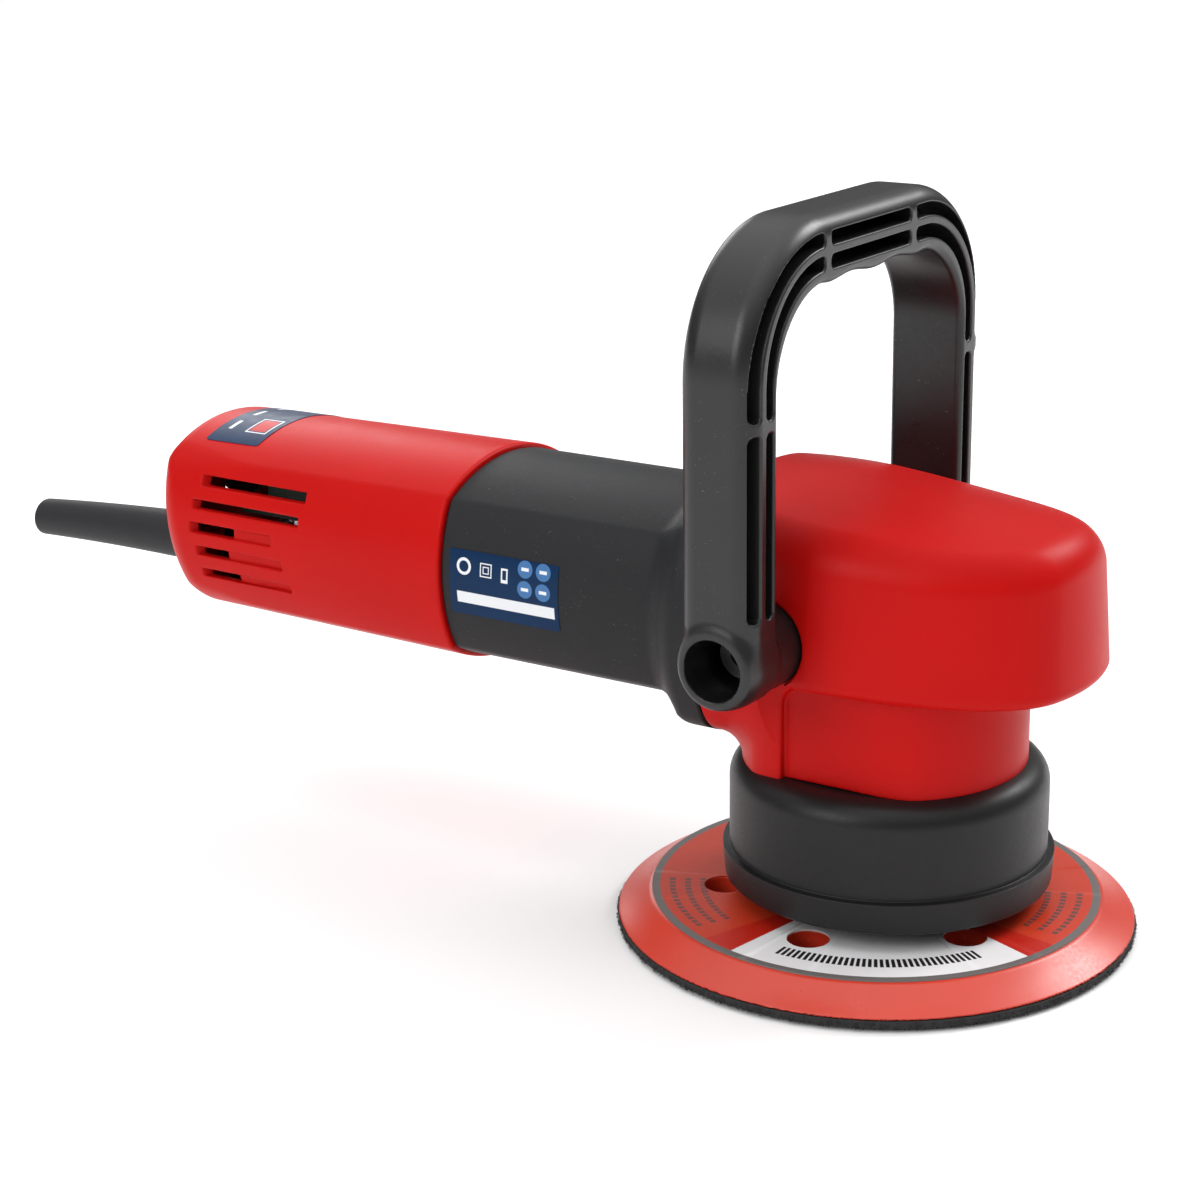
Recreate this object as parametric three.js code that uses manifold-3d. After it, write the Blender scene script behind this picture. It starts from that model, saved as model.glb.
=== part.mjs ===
// Dual action polisher: a random-orbital car polisher with a D-handle, built as an assembly.
// Millimetres. +X points from the motor to the front of the head, +Y to the left, +Z up.
// The origin is on the pad's working face, directly under the drive spindle's axis.

import * as THREE from "three";
import { mergeVertices } from "three/addons/utils/BufferGeometryUtils.js";
import Module from "manifold-3d";

const wasm = await Module();
wasm.setup();

// ---- driving dimensions ----

const GAP = 0.3; // clearance between pieces that touch
const HALF_TURN = Math.PI;
const QUARTER_TURN = Math.PI / 2;

const MOTOR_Z = 92.5; // height of the armature axis over the pad's face
const FLANGE_X = -42; // joint between head and motor housing
const SEAM_X = -132; // joint between motor housing and rear housing
const REAR_X = -247.5; // rear face of the rear housing
const BARREL_Z = 91.9; // middle of the barrel's section, just under the armature axis
const BARREL_SIDE_R = 48; // the barrel's sides are arcs of this radius
const BARREL_TOP_R = 55; // and its top and bottom of this one
const BARREL_HALF_WIDTH = 36.55;
const BARREL_HALF_HEIGHT = 32.7;
const WALL = 3; // plastic wall thickness

const PAD_R = 75; // a 150 mm pad
const PAD_OFFSET = 4; // pad axis to spindle axis, so the orbit is 8 mm across
const HOOK_T = 2.6;
const PAD_TOP_Z = 9.4;
const PAD_TOP_R = 65.3;
const PAD_RIM_Z = 3.4; // the bevel starts here
const LABEL_DISC_R = 64.7;
const PAD_HOLE_R = 5.8;
const PAD_HOLE_CIRCLE_R = 43.5;
const PAD_HOLES = 6;

const SHROUD_BOTTOM_Z = 15.5;
const SHROUD_TOP_Z = 52;
const SHROUD_R = 45.6;
const SHROUD_SHOULDER_R = 12;

const HANDLE_X = -17.9; // handle plane and its bolt axis
const HANDLE_DEPTH = 23.2;
const HANDLE_OUT_Y = 67.8;
const HANDLE_IN_Y = 54.5;
const HANDLE_TOP_Z = 208.5;
const HANDLE_UNDER_Z = 190.5;
const HANDLE_OUT_R = 40;
const HANDLE_IN_R = 26;
const FOOT_R = 12.1; // handle foot where it meets the head
const FOOT_LIP_R = 10.3;
const COUNTERBORE_R = 8.5; // for the bolt's head
const FOOT_SEAT_Y = 40; // depth of the foot's seat in the head

const STACK_REAR_X = -118; // stator and armature laminations
const STACK_FRONT_X = -74;
const STATOR_R = 29;
const POLE_R = 18.2;
const ARMATURE_R = 17.6;

const RING_TEETH = 32;
const PINION_TEETH = 8;
const GEAR_MODULE = 1.25;
const RING_R = (GEAR_MODULE * RING_TEETH) / 2; // pitch radius at the large end
const PINION_R = (GEAR_MODULE * PINION_TEETH) / 2;
const GEAR_TAPER = 0.65; // small end of the teeth over the large end
const PRESSURE_ANGLE = THREE.MathUtils.degToRad(20);
const BACKLASH = 0.4;

const DIAL_X = REAR_X + 8.5;
const DIAL_Z = 106;
const DIAL_R = 10.5;

const BOOT_Z = 77; // cord sleeve at the rear face
const SCREW_R = 1.9;

// ---- materials ----

const RED = { color: 0xc9151b, roughness: 0.42, metalness: 0 };
const BLACK = { color: 0x26272a, roughness: 0.6, metalness: 0 };
const STEEL = { color: 0x9a9da2, roughness: 0.35, metalness: 1 };
const DARK_STEEL = { color: 0x54575c, roughness: 0.5, metalness: 1 };
const ALUMINIUM = { color: 0xb4b7ba, roughness: 0.45, metalness: 1 };
const COPPER = { color: 0xa85c32, roughness: 0.4, metalness: 1 };
const BRASS = { color: 0xb08d3c, roughness: 0.35, metalness: 1 };
const CARBON = { color: 0x1b1b1d, roughness: 0.8, metalness: 0 };
const RUBBER = { color: 0x202124, roughness: 0.75, metalness: 0 };
const FOAM_RED = { color: 0xd23416, roughness: 0.35, metalness: 0 };
const HOOK = { color: 0x2c2927, roughness: 0.95, metalness: 0 };
const LABEL_BLUE = { color: 0x12305f, roughness: 0.3, metalness: 0 };
const LABEL_RED = { color: 0xcc3320, roughness: 0.3, metalness: 0 };
const BOARD_GREEN = { color: 0x1e5a38, roughness: 0.6, metalness: 0 };

// ---- geometry helpers: each returns one closed, indexed, position-only geometry ----

// Merges shared vertices and turns every face outwards.
function closed(geometry) {
  const bare = geometry.clone();
  bare.deleteAttribute("normal");
  bare.deleteAttribute("uv");
  const merged = mergeVertices(bare, 1e-4);
  const index = Array.from(merged.index.array);
  const at = merged.attributes.position;
  const corner = [new THREE.Vector3(), new THREE.Vector3(), new THREE.Vector3()];
  const kept = [];
  let volume = 0;
  for (let i = 0; i < index.length; i += 3) {
    const [a, b, c] = [index[i], index[i + 1], index[i + 2]];
    if (a === b || b === c || c === a) continue;
    corner[0].fromBufferAttribute(at, a);
    corner[1].fromBufferAttribute(at, b);
    corner[2].fromBufferAttribute(at, c);
    volume += corner[0].dot(corner[1].cross(corner[2]));
    kept.push(a, b, c);
  }
  merged.setIndex(volume < 0 ? kept.reverse() : kept);
  return merged;
}

function toManifold(geometry) {
  const shape = closed(geometry);
  const vertProperties = new Float32Array(shape.attributes.position.array);
  const triVerts = new Uint32Array(shape.index.array);
  return new wasm.Manifold(new wasm.Mesh({ numProp: 3, vertProperties, triVerts }));
}

function fromManifold(solid) {
  const mesh = solid.getMesh();
  const geometry = new THREE.BufferGeometry();
  geometry.setAttribute("position", new THREE.BufferAttribute(new Float32Array(mesh.vertProperties), 3));
  geometry.setIndex(Array.from(mesh.triVerts));
  return geometry;
}

function combine(operation, first, others) {
  let solid = toManifold(first);
  for (const other of others) {
    solid = solid[operation](toManifold(other));
  }
  return fromManifold(solid);
}

const join = (first, ...others) => combine("add", first, others);
const cut = (first, ...others) => combine("subtract", first, others);
const overlap = (first, ...others) => combine("intersect", first, others);

// A box between two corners.
function block(low, high) {
  const size = high.map((value, i) => value - low[i]);
  const middle = high.map((value, i) => (value + low[i]) / 2);
  return new THREE.BoxGeometry(...size).translate(...middle);
}

// Revolves a closed profile of [radius, height] points about the Z axis through (x, y).
function turned(profile, segments = 24, x = 0, y = 0) {
  const points = [...profile, profile[0]].map(([radius, height]) => new THREE.Vector2(radius, height));
  return closed(new THREE.LatheGeometry(points, segments).rotateX(QUARTER_TURN)).translate(x, y, 0);
}

function rod(radius, low, high, segments = 24, x = 0, y = 0) {
  const height = high - low;
  const geometry = new THREE.CylinderGeometry(radius, radius, height, segments);
  return geometry.rotateX(QUARTER_TURN).translate(x, y, (low + high) / 2);
}

// Turns a geometry made along Z to lie along X (about the motor axis) or along Y.
const alongX = (geometry, z = MOTOR_Z) => geometry.rotateY(QUARTER_TURN).translate(0, 0, z);
const alongY = (geometry, x, z) => geometry.rotateX(-QUARTER_TURN).translate(x, 0, z);

function ring(inner, outer, low, high, segments = 24) {
  return turned([[inner, low], [outer, low], [outer, high], [inner, high]], segments);
}

// Extrudes a shape along Z.
function prism(shape, low, high, curveSegments = 6) {
  const options = { depth: high - low, bevelEnabled: false, curveSegments };
  const geometry = new THREE.ExtrudeGeometry(shape, options);
  return geometry.translate(0, 0, low);
}

// Extrudes a shape through stations, each scaled about the shape's origin: place(point, s) maps it.
function lofted(shape, stations, place, curveSegments = 3) {
  const steps = stations.length - 1;
  const settings = { depth: steps, steps, bevelEnabled: false, curveSegments };
  const geometry = new THREE.ExtrudeGeometry(shape, settings);
  const at = geometry.attributes.position;
  const point = new THREE.Vector3();
  for (let i = 0; i < at.count; i += 1) {
    point.fromBufferAttribute(at, i);
    place(point, stations[Math.round(point.z)]);
    at.setXYZ(i, point.x, point.y, point.z);
  }
  return closed(geometry);
}

function mirroredY(geometry) {
  return closed(geometry.clone().scale(1, -1, 1));
}

// ---- barrel sections, shared by the housings, the labels and the back of the head ----

// The barrel's section: four shallow arcs that meet in creases. The shape's x is up, its y is sideways.
function barrelShape(grow) {
  const sideR = BARREL_SIDE_R + grow;
  const topR = BARREL_TOP_R + grow;
  const sideCentre = BARREL_SIDE_R - BARREL_HALF_WIDTH;
  const topCentre = BARREL_TOP_R - BARREL_HALF_HEIGHT;
  const apart = Math.hypot(sideCentre, topCentre);
  const along = (sideR ** 2 - topR ** 2 + apart ** 2) / (2 * apart);
  const across = Math.sqrt(sideR ** 2 - along ** 2);
  const creaseUp = (across * sideCentre - along * topCentre) / apart;
  const creaseOut = (across * topCentre + along * sideCentre) / apart - sideCentre;
  const sideHalf = Math.asin(creaseUp / sideR);
  const topHalf = Math.asin(creaseOut / topR);
  const shape = new THREE.Shape();
  shape.absarc(-topCentre, 0, topR, -topHalf, topHalf, false);
  shape.absarc(0, -sideCentre, sideR, QUARTER_TURN - sideHalf, QUARTER_TURN + sideHalf, false);
  shape.absarc(topCentre, 0, topR, HALF_TURN - topHalf, HALF_TURN + topHalf, false);
  const bottom = 3 * QUARTER_TURN;
  shape.absarc(0, sideCentre, sideR, bottom - sideHalf, bottom + sideHalf, false);
  return shape;
}

// Stations are [x, scale, height offset].
function barrel(grow, stations) {
  const place = (point, [x, scale, lift]) => {
    point.set(x, point.y * scale, BARREL_Z + lift + point.x * scale);
  };
  return lofted(barrelShape(grow), stations, place);
}

// ---- red rear housing ----

const VENT_PITCH = 7.5;
const VENT_TOP_Z = 108.5;
const VENT_INNER_Y = 23; // the cutters start inside the room
// Each vent is [rear end, front end of its opening, height].
const VENTS = [
  [-228, -185, 3],
  [-231, -187, 2.6],
  [-232, -214, 3],
  [-230, -217, 2.6],
  [-229, -214, 2.4],
];

function ventCutter([rear, front, height], row) {
  const half = height / 2;
  const z = VENT_TOP_Z - row * VENT_PITCH;
  const shape = new THREE.Shape();
  shape.absarc(rear + half, z, half, QUARTER_TURN, 3 * QUARTER_TURN, false);
  shape.absarc(front - half, z, half, -QUARTER_TURN, QUARTER_TURN, false);
  return prism(shape, VENT_INNER_Y, HANDLE_OUT_Y, 2).rotateX(QUARTER_TURN);
}

const REAR_EDGE = 14; // length of the rounded rear edge
const SEAM_SCALE = 1.012;
const REAR_SCALE = 0.978;
const REAR_SCREW_Y = 19;
const REAR_SCREW_Z = 90;

function rearHousing() {
  const outer = barrel(0, [
    [SEAM_X, SEAM_SCALE, 0],
    [REAR_X + REAR_EDGE, REAR_SCALE, 0],
    [REAR_X + 7, 0.95, 0],
    [REAR_X + 2, 0.89, 0],
    [REAR_X, 0.82, 0],
  ]);
  const inner = barrel(-WALL, [
    [SEAM_X + 1, SEAM_SCALE, 0],
    [REAR_X + 13, REAR_SCALE, 0],
    [REAR_X + 4, 0.86, 0],
  ]);
  const cordHole = alongX(rod(8.3, REAR_X - 1, REAR_X + 10, 20), BOOT_Z);
  const dialSlot = block([REAR_X - 1, -4, DIAL_Z - 10.3], [REAR_X + 6, 4, DIAL_Z + 10.3]);
  const switchSlot = block([-174.4, 28, MOTOR_Z - 6.4], [-149.6, 40, MOTOR_Z + 6.4]);
  const screwHoles = [-1, 1].map((side) => {
    const hole = alongX(rod(2.3, REAR_X - 1, REAR_X + 8, 12), REAR_SCREW_Z);
    return hole.translate(0, side * REAR_SCREW_Y, 0);
  });
  const vents = VENTS.map(ventCutter);
  const allVents = [...vents, ...vents.map(mirroredY)];
  return cut(outer, inner, cordHole, dialSlot, switchSlot, ...screwHoles, ...allVents);
}

// ---- black motor housing ----

const MOTOR_GROW = -1; // the motor housing stands 1 mm inside the rear housing

function motorHousing() {
  const front = FLANGE_X - GAP;
  const stations = [
    [SEAM_X + GAP, 1, 0],
    [-57, 1, 0],
    [-53.5, 1.04, -0.6],
    [-50.5, 1.11, -1.5],
    [-47, 1.15, -1.9],
    [front, 1.15, -1.9],
  ];
  const bore = alongX(rod(STATOR_R + GAP, SEAM_X - 1, FLANGE_X + 1, 32));
  return cut(barrel(MOTOR_GROW, stations), bore);
}

// ---- labels: thin curved plates over a barrel ----

const LABEL_GAP = 0.3;
const LABEL_TOP = 0.8;

function specLabel() {
  const ends = (x) => [x, 1, 0];
  const skin = cut(
    barrel(MOTOR_GROW + LABEL_TOP, [ends(-128.5), ends(-89.5)]),
    barrel(MOTOR_GROW + LABEL_GAP, [ends(-129.5), ends(-88.5)]),
  );
  return overlap(skin, block([-128.5, -45, 84], [-89.5, -20, 104]));
}

const TOP_LABEL_REAR_X = -231;
const TOP_LABEL_FRONT_X = -201;

// The rear housing tapers evenly from the seam to where its rear edge rounds off.
function topScale(x) {
  const along = (SEAM_X - x) / (SEAM_X - REAR_X - REAR_EDGE);
  return SEAM_SCALE - (SEAM_SCALE - REAR_SCALE) * along;
}

function topLabel() {
  const ends = (x) => [x, topScale(x), 0];
  const skin = cut(
    barrel(LABEL_TOP, [ends(TOP_LABEL_REAR_X), ends(TOP_LABEL_FRONT_X)]),
    barrel(LABEL_GAP, [ends(TOP_LABEL_REAR_X - 1), ends(TOP_LABEL_FRONT_X + 1)]),
  );
  const keep = block([TOP_LABEL_REAR_X, -27, MOTOR_Z + 15], [TOP_LABEL_FRONT_X, 27, MOTOR_Z + 40]);
  return overlap(skin, keep);
}

// ---- red head cover ----

// Half the head's plan, from the rear joint round to the middle of the front.
const HEAD_SIDE = [
  [-58, 40.5],
  [-30, 42.4],
  [-10, 43],
  [6, 41.2],
  [20, 39],
  [34, 36.2],
  [46, 29.5],
  [53.5, 21],
  [58.3, 10.5],
];
const HEAD_NOSE_X = 59.3;
const HEAD_MIDDLE_X = 5;
const HEAD_SLOPE_X = 20; // the domed top falls in front of x = -20
const HEAD_SLOPE = 0.11;

function headShape(grow) {
  const inward = HEAD_SIDE.map(([x, y], i) => {
    const frontness = Math.max(0, (x - 36) / 26);
    return new THREE.Vector2(x + grow * frontness - HEAD_MIDDLE_X, y + grow * (1 - frontness * 0.6));
  });
  const nose = new THREE.Vector2(HEAD_NOSE_X + grow - HEAD_MIDDLE_X, 0);
  const mirrored = inward.map((p) => new THREE.Vector2(p.x, -p.y)).reverse();
  const shape = new THREE.Shape();
  shape.moveTo(inward[0].x, inward[0].y);
  shape.splineThru([...inward.slice(1), nose, ...mirrored]);
  shape.lineTo(inward[0].x, inward[0].y);
  return shape;
}

// Stations are [z, scale]; the top falls away towards the nose.
function headBody(grow, stations) {
  const place = (point, [z, scale]) => {
    const x = HEAD_MIDDLE_X + point.x * scale;
    const fall = Math.max(0, x + HEAD_SLOPE_X) * HEAD_SLOPE * (z - 82) / 49;
    point.set(x, point.y * scale, z - fall);
  };
  return lofted(headShape(grow), stations, place, 2);
}

// The neck's plan: arcs about the spindle cut off by flat sides, wider behind a step.
function neckShape(grow) {
  const frontR = 39.5 + grow;
  const rearR = 42.5 + grow;
  const frontY = 35 + grow;
  const rearY = 36.6 + grow;
  const stepX = -14.5;
  const shape = new THREE.Shape();
  shape.absarc(0, 0, frontR, -Math.asin(frontY / frontR), Math.asin(frontY / frontR), false);
  shape.lineTo(stepX + 1.5, frontY);
  shape.lineTo(stepX, rearY);
  const rearAngle = Math.asin(rearY / rearR);
  shape.absarc(0, 0, rearR, HALF_TURN - rearAngle, HALF_TURN + rearAngle, false);
  shape.lineTo(stepX, -rearY);
  shape.lineTo(stepX + 1.5, -frontY);
  return shape;
}

function shroudProfile(grow, steps) {
  const shoulder = new THREE.EllipseCurve(
    SHROUD_R - SHROUD_SHOULDER_R, SHROUD_TOP_Z - SHROUD_SHOULDER_R,
    SHROUD_SHOULDER_R + grow, SHROUD_SHOULDER_R + grow, 0, QUARTER_TURN,
  );
  return shoulder.getPoints(steps).map((p) => [p.x, p.y]);
}

function headCover() {
  const outer = [
    [80.3, 0.955],
    [81.6, 0.985],
    [84, 1],
    [116, 0.948],
    [121.5, 0.905],
    [126, 0.82],
    [129, 0.6],
    [130.5, 0.38],
    [131, 0.2],
  ];
  const inner = [[83, 1], [114, 0.948], [120, 0.89], [124, 0.75]];
  const collar = (x) => [x, 1.145, -1.9];
  const body = headBody(0, outer);
  const neck = prism(neckShape(0), 48, 90, 4);
  const back = barrel(MOTOR_GROW, [collar(-60), collar(-20), [-6, 1.02, 2]]);
  const bosses = [-1, 1].map((side) => {
    return alongY(rod(15, side > 0 ? 36.5 : -60, side > 0 ? 60 : -36.5, 18), HANDLE_X, MOTOR_Z);
  });
  const bodyRoom = cut(headBody(-WALL, inner), ...bosses);
  const neckRoom = prism(neckShape(-WALL), 40, 92, 3);
  const backRoom = barrel(MOTOR_GROW, [[-62, 1.04, -1.9], [-22, 1.04, -1.9]]);
  const behind = block([-90, -60, 40], [FLANGE_X, 60, 140]);
  const bottom = [[0, 30], [SHROUD_R + GAP, 30]];
  const underShroud = turned([...bottom, ...shroudProfile(GAP, 4), [0, SHROUD_TOP_Z + GAP]], 40);
  const seats = [-1, 1].map((side) => {
    const low = side > 0 ? FOOT_SEAT_Y - GAP : -60;
    const high = side > 0 ? 60 : -FOOT_SEAT_Y + GAP;
    return alongY(rod(FOOT_R + 0.5, low, high, 24), HANDLE_X, MOTOR_Z);
  });
  const boltHole = alongY(rod(4.6, -60, 60, 16), HANDLE_X, MOTOR_Z);
  const shell = cut(join(body, neck, back), behind, bodyRoom, neckRoom, backRoom);
  return cut(shell, underShroud, boltHole, ...seats);
}

// ---- shroud over the eccentric ----

function shroud() {
  const wall = 2.5;
  const outside = shroudProfile(0, 4);
  const inside = shroudProfile(-wall, 2).reverse();
  return turned(
    [
      [SHROUD_R - wall + 0.4, SHROUD_BOTTOM_Z],
      [SHROUD_R + 1.3, SHROUD_BOTTOM_Z],
      [SHROUD_R + 2, 24.6],
      [SHROUD_R, 25],
      ...outside,
      [31, SHROUD_TOP_Z],
      [31, SHROUD_TOP_Z - wall],
      ...inside,
    ],
    40,
  );
}

// ---- aluminium gear case ----

const CAP_SEAT_Z = 101;
const CAP_SCREWS = [[-31, -19], [-31, 19], [38, -17], [38, 17]];
const LOWER_BEARING = { inner: 7.2, outer: 17.5, low: 59, high: 70 };
const UPPER_BEARING = { inner: 4.2, outer: 11, low: 101.5, high: 108 };
const FRONT_BEARING = { inner: 5.2, outer: 13, low: -46.5, high: -37.5 };
const REAR_BEARING = { inner: 3.7, outer: 11, low: -157, high: -150 };
const PAD_BEARING = { inner: 6.2, outer: 14, height: 8 };

function gearCase() {
  const top = CAP_SEAT_Z;
  const tower = rod(29.5, 54.3, top, 28);
  const bridge = block([-41.6, -27, 70], [0, 27, top]);
  const plate = block([-41.6, -31, 72], [-36.9, 31, 117]);
  const collar = alongX(rod(17, -47.6, -40, 24));
  const nose = block([0, -22, 84.5], [44, 22, top]);
  const ear = alongY(rod(8.4, -36.2, 36.2, 18), HANDLE_X, MOTOR_Z);
  const gearRoom = rod(24.5, 73, top + 1, 28);
  const bearingBore = rod(LOWER_BEARING.outer + GAP, 50, LOWER_BEARING.high + GAP, 24);
  const spindlePass = rod(13, 69, 75, 18);
  const frontBore = alongX(rod(FRONT_BEARING.outer + GAP, -50, FRONT_BEARING.high + GAP, 20));
  const pinionPass = alongX(rod(7.8, -40, -18, 18));
  const boltHoles = alongY(rod(4.4, -40, 40, 16), HANDLE_X, MOTOR_Z);
  const boltKeep = block([-30, -24.6, 80], [-6, 24.6, 100]);
  const screwHoles = CAP_SCREWS.map(([x, y]) => rod(SCREW_R + GAP, 88, top + 1, 10, x, y));
  const solid = join(tower, bridge, plate, collar, nose, ear);
  const holes = cut(boltHoles, boltKeep);
  return cut(solid, gearRoom, bearingBore, spindlePass, frontBore, pinionPass, holes, ...screwHoles);
}

function gearCaseCap() {
  const low = CAP_SEAT_Z + GAP;
  const plate = block([-36.4, -24, low], [44, 24, 107]);
  const boss = rod(15, low, 112, 28);
  const pocket = rod(UPPER_BEARING.outer + GAP, low - 1, UPPER_BEARING.high + GAP, 24);
  const screwHoles = CAP_SCREWS.map(([x, y]) => rod(SCREW_R + GAP, low - 1, 108, 10, x, y));
  return cut(join(plate, boss), pocket, ...screwHoles);
}

function panScrew(x, y, tip, seat) {
  const head = 3.6;
  const top = seat + 2.6;
  const profile = [[0, tip], [SCREW_R, tip], [SCREW_R, seat], [head, seat], [head, top], [0, top]];
  return turned(profile, 9, x, y);
}

// ---- bearings: a shielded ring each ----

function bearing({ inner, outer, low, high }, segments = 18) {
  const rim = (outer - inner) * 0.22;
  const shield = high - 0.5;
  return turned(
    [
      [inner, low], [outer, low], [outer, high], [outer - rim, high], [outer - rim, shield],
      [inner + rim, shield], [inner + rim, high], [inner, high],
    ],
    segments,
  );
}

function padBearing(low) {
  return bearing({ ...PAD_BEARING, low, high: low + PAD_BEARING.height }).translate(-PAD_OFFSET, 0, 0);
}

// ---- handle ----

// The D outline, seen from the front: x is sideways, y is up.
function handleShape() {
  const outY = HANDLE_OUT_Y;
  const inY = HANDLE_IN_Y;
  const foot = MOTOR_Z;
  const middle = (outY + inY) / 2;
  const half = (outY - inY) / 2;
  const shape = new THREE.Shape();
  shape.absarc(outY - HANDLE_OUT_R, HANDLE_TOP_Z - HANDLE_OUT_R, HANDLE_OUT_R, 0, QUARTER_TURN, false);
  shape.absarc(HANDLE_OUT_R - outY, HANDLE_TOP_Z - HANDLE_OUT_R, HANDLE_OUT_R, QUARTER_TURN, HALF_TURN, false);
  shape.absarc(-middle, foot, half, HALF_TURN, 2 * HALF_TURN, false);
  shape.absarc(HANDLE_IN_R - inY, HANDLE_UNDER_Z - HANDLE_IN_R, HANDLE_IN_R, HALF_TURN, QUARTER_TURN, true);
  shape.absarc(inY - HANDLE_IN_R, HANDLE_UNDER_Z - HANDLE_IN_R, HANDLE_IN_R, QUARTER_TURN, 0, true);
  shape.absarc(middle, foot, half, -HALF_TURN, 0, false);
  return shape;
}

// A slot with round ends along a path of points, for the lightening pockets.
function slotShape(path, half) {
  const left = [];
  const right = [];
  path.forEach((p, i) => {
    const before = path[Math.max(0, i - 1)];
    const after = path[Math.min(path.length - 1, i + 1)];
    const across = after.clone().sub(before).normalize();
    const side = new THREE.Vector2(-across.y, across.x);
    left.push(p.clone().addScaledVector(side, half));
    right.push(p.clone().addScaledVector(side, -half));
  });
  const ends = [path[0], path[path.length - 1]];
  const headings = [path[0].clone().sub(path[1]), ends[1].clone().sub(path[path.length - 2])];
  const tips = ends.map((p, i) => p.clone().addScaledVector(headings[i].normalize(), half * 0.8));
  return new THREE.Shape([...left, tips[1], ...right.reverse(), tips[0]]);
}

const SLOT_DEPTH = 13;
const LEG_RIB_Z = 158;
const BAR_RIB_Y = 22.3;

// One row of pockets: on the leg, round the corner and along the bar.
function slotRow(legY, barZ, half) {
  const cornerY = 28;
  const cornerZ = 168;
  const corner = new THREE.EllipseCurve(cornerY, cornerZ, legY - cornerY, barZ - cornerZ, 0, QUARTER_TURN);
  const cornerPath = [new THREE.Vector2(legY, LEG_RIB_Z + 2 + half), ...corner.getPoints(5)];
  cornerPath.push(new THREE.Vector2(BAR_RIB_Y + 1.6 + half, barZ));
  const legPath = [new THREE.Vector2(legY, 106 + half), new THREE.Vector2(legY, LEG_RIB_Z - 2 - half)];
  const barEnd = BAR_RIB_Y - 1.6 - half;
  const barPath = [new THREE.Vector2(-barEnd, barZ), new THREE.Vector2(barEnd, barZ)];
  const sides = [legPath, cornerPath].flatMap((path) => [
    path,
    path.map((p) => new THREE.Vector2(-p.x, p.y)),
  ]);
  return [...sides, barPath].map((path) => slotShape(path, half));
}

// Moves a geometry drawn as (sideways, up, forward) into the model frame.
function facingFront(geometry) {
  return geometry.applyMatrix4(new THREE.Matrix4().set(0, 0, 1, 0, 1, 0, 0, 0, 0, 1, 0, 0, 0, 0, 0, 1));
}

function handle() {
  const edge = 3.5;
  const back = HANDLE_X - HANDLE_DEPTH / 2;
  const front = HANDLE_X + HANDLE_DEPTH / 2;
  const frame = new THREE.ExtrudeGeometry(handleShape(), {
    depth: HANDLE_DEPTH - 2 * edge,
    bevelThickness: edge,
    bevelSize: edge,
    bevelOffset: -edge,
    bevelSegments: 2,
    curveSegments: 5,
  });
  const body = facingFront(closed(frame).translate(0, 0, back + edge));
  const lip = HANDLE_OUT_Y;
  const seat = FOOT_SEAT_Y;
  const footProfile = [
    [0, seat],
    [FOOT_R, seat],
    [FOOT_R, seat + 6],
    [FOOT_LIP_R, lip - 1],
    [FOOT_LIP_R - 1, lip],
    [0, lip],
  ];
  const foot = alongY(turned(footProfile, 24), HANDLE_X, MOTOR_Z);
  const boreProfile = [
    [0, seat - 1],
    [4.4, seat - 1],
    [4.4, 47],
    [COUNTERBORE_R, 47],
    [COUNTERBORE_R, lip + 1],
    [0, lip + 1],
  ];
  const bore = alongY(turned(boreProfile, 20), HANDLE_X, MOTOR_Z);
  const rows = [...slotRow(63.9, 202, 1.9), ...slotRow(57.7, 195.8, 1.8)];
  const pockets = rows.map((shape) => facingFront(prism(shape, front - SLOT_DEPTH, front + 1, 1)));
  return cut(join(body, foot, mirroredY(foot)), bore, mirroredY(bore), ...pockets);
}

function handleBolt() {
  const profile = [
    [0, 25.5],
    [4, 25.5],
    [4, 47 + GAP],
    [6.5, 47 + GAP],
    [6.5, 53],
    [3.2, 53],
    [3.2, 49.5],
    [0, 49.5],
  ];
  return alongY(turned(profile, 18), HANDLE_X, MOTOR_Z);
}

// ---- motor ----

// A sector of a ring about the motor axis; the angle is measured from the +Y direction.
function sectorShape(inner, outer, halfAngle) {
  const shape = new THREE.Shape();
  shape.absarc(0, 0, outer, QUARTER_TURN - halfAngle, QUARTER_TURN + halfAngle, false);
  shape.absarc(0, 0, inner, QUARTER_TURN + halfAngle, QUARTER_TURN - halfAngle, true);
  return shape;
}

const rad = (degrees) => THREE.MathUtils.degToRad(degrees);

function statorCore() {
  const yoke = ring(25, STATOR_R, STACK_REAR_X, STACK_FRONT_X, 32);
  const necks = prism(sectorShape(19.5, 25.6, rad(28)), STACK_REAR_X, STACK_FRONT_X, 4);
  const shoes = prism(sectorShape(POLE_R, 20.4, rad(56)), STACK_REAR_X, STACK_FRONT_X, 5);
  const pole = join(necks, shoes);
  return alongX(join(yoke, pole, mirroredY(pole)));
}

function fieldCoil(side) {
  const coilEnd = 7;
  const sector = sectorShape(20.8, 24.6, rad(62));
  const whole = prism(sector, STACK_REAR_X - coilEnd, STACK_FRONT_X + coilEnd, 6);
  const window = prism(sectorShape(15, 27, rad(31)), STACK_REAR_X - GAP, STACK_FRONT_X + GAP, 3);
  const coil = cut(whole, window);
  return alongX(side > 0 ? coil : mirroredY(coil));
}

// A toothed disc outline: slots cut into a circle.
function slottedShape(radius, floor, count, slotHalfAngle) {
  const shape = new THREE.Shape();
  for (let i = 0; i < count; i += 1) {
    const middle = (2 * HALF_TURN * i) / count;
    const half = HALF_TURN / count;
    shape.absarc(0, 0, radius, middle - half + slotHalfAngle, middle + half - slotHalfAngle, false);
    shape.absarc(0, 0, floor, middle + half - slotHalfAngle, middle + half + slotHalfAngle, false);
  }
  return shape;
}

const SHAFT_R = 5;

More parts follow.
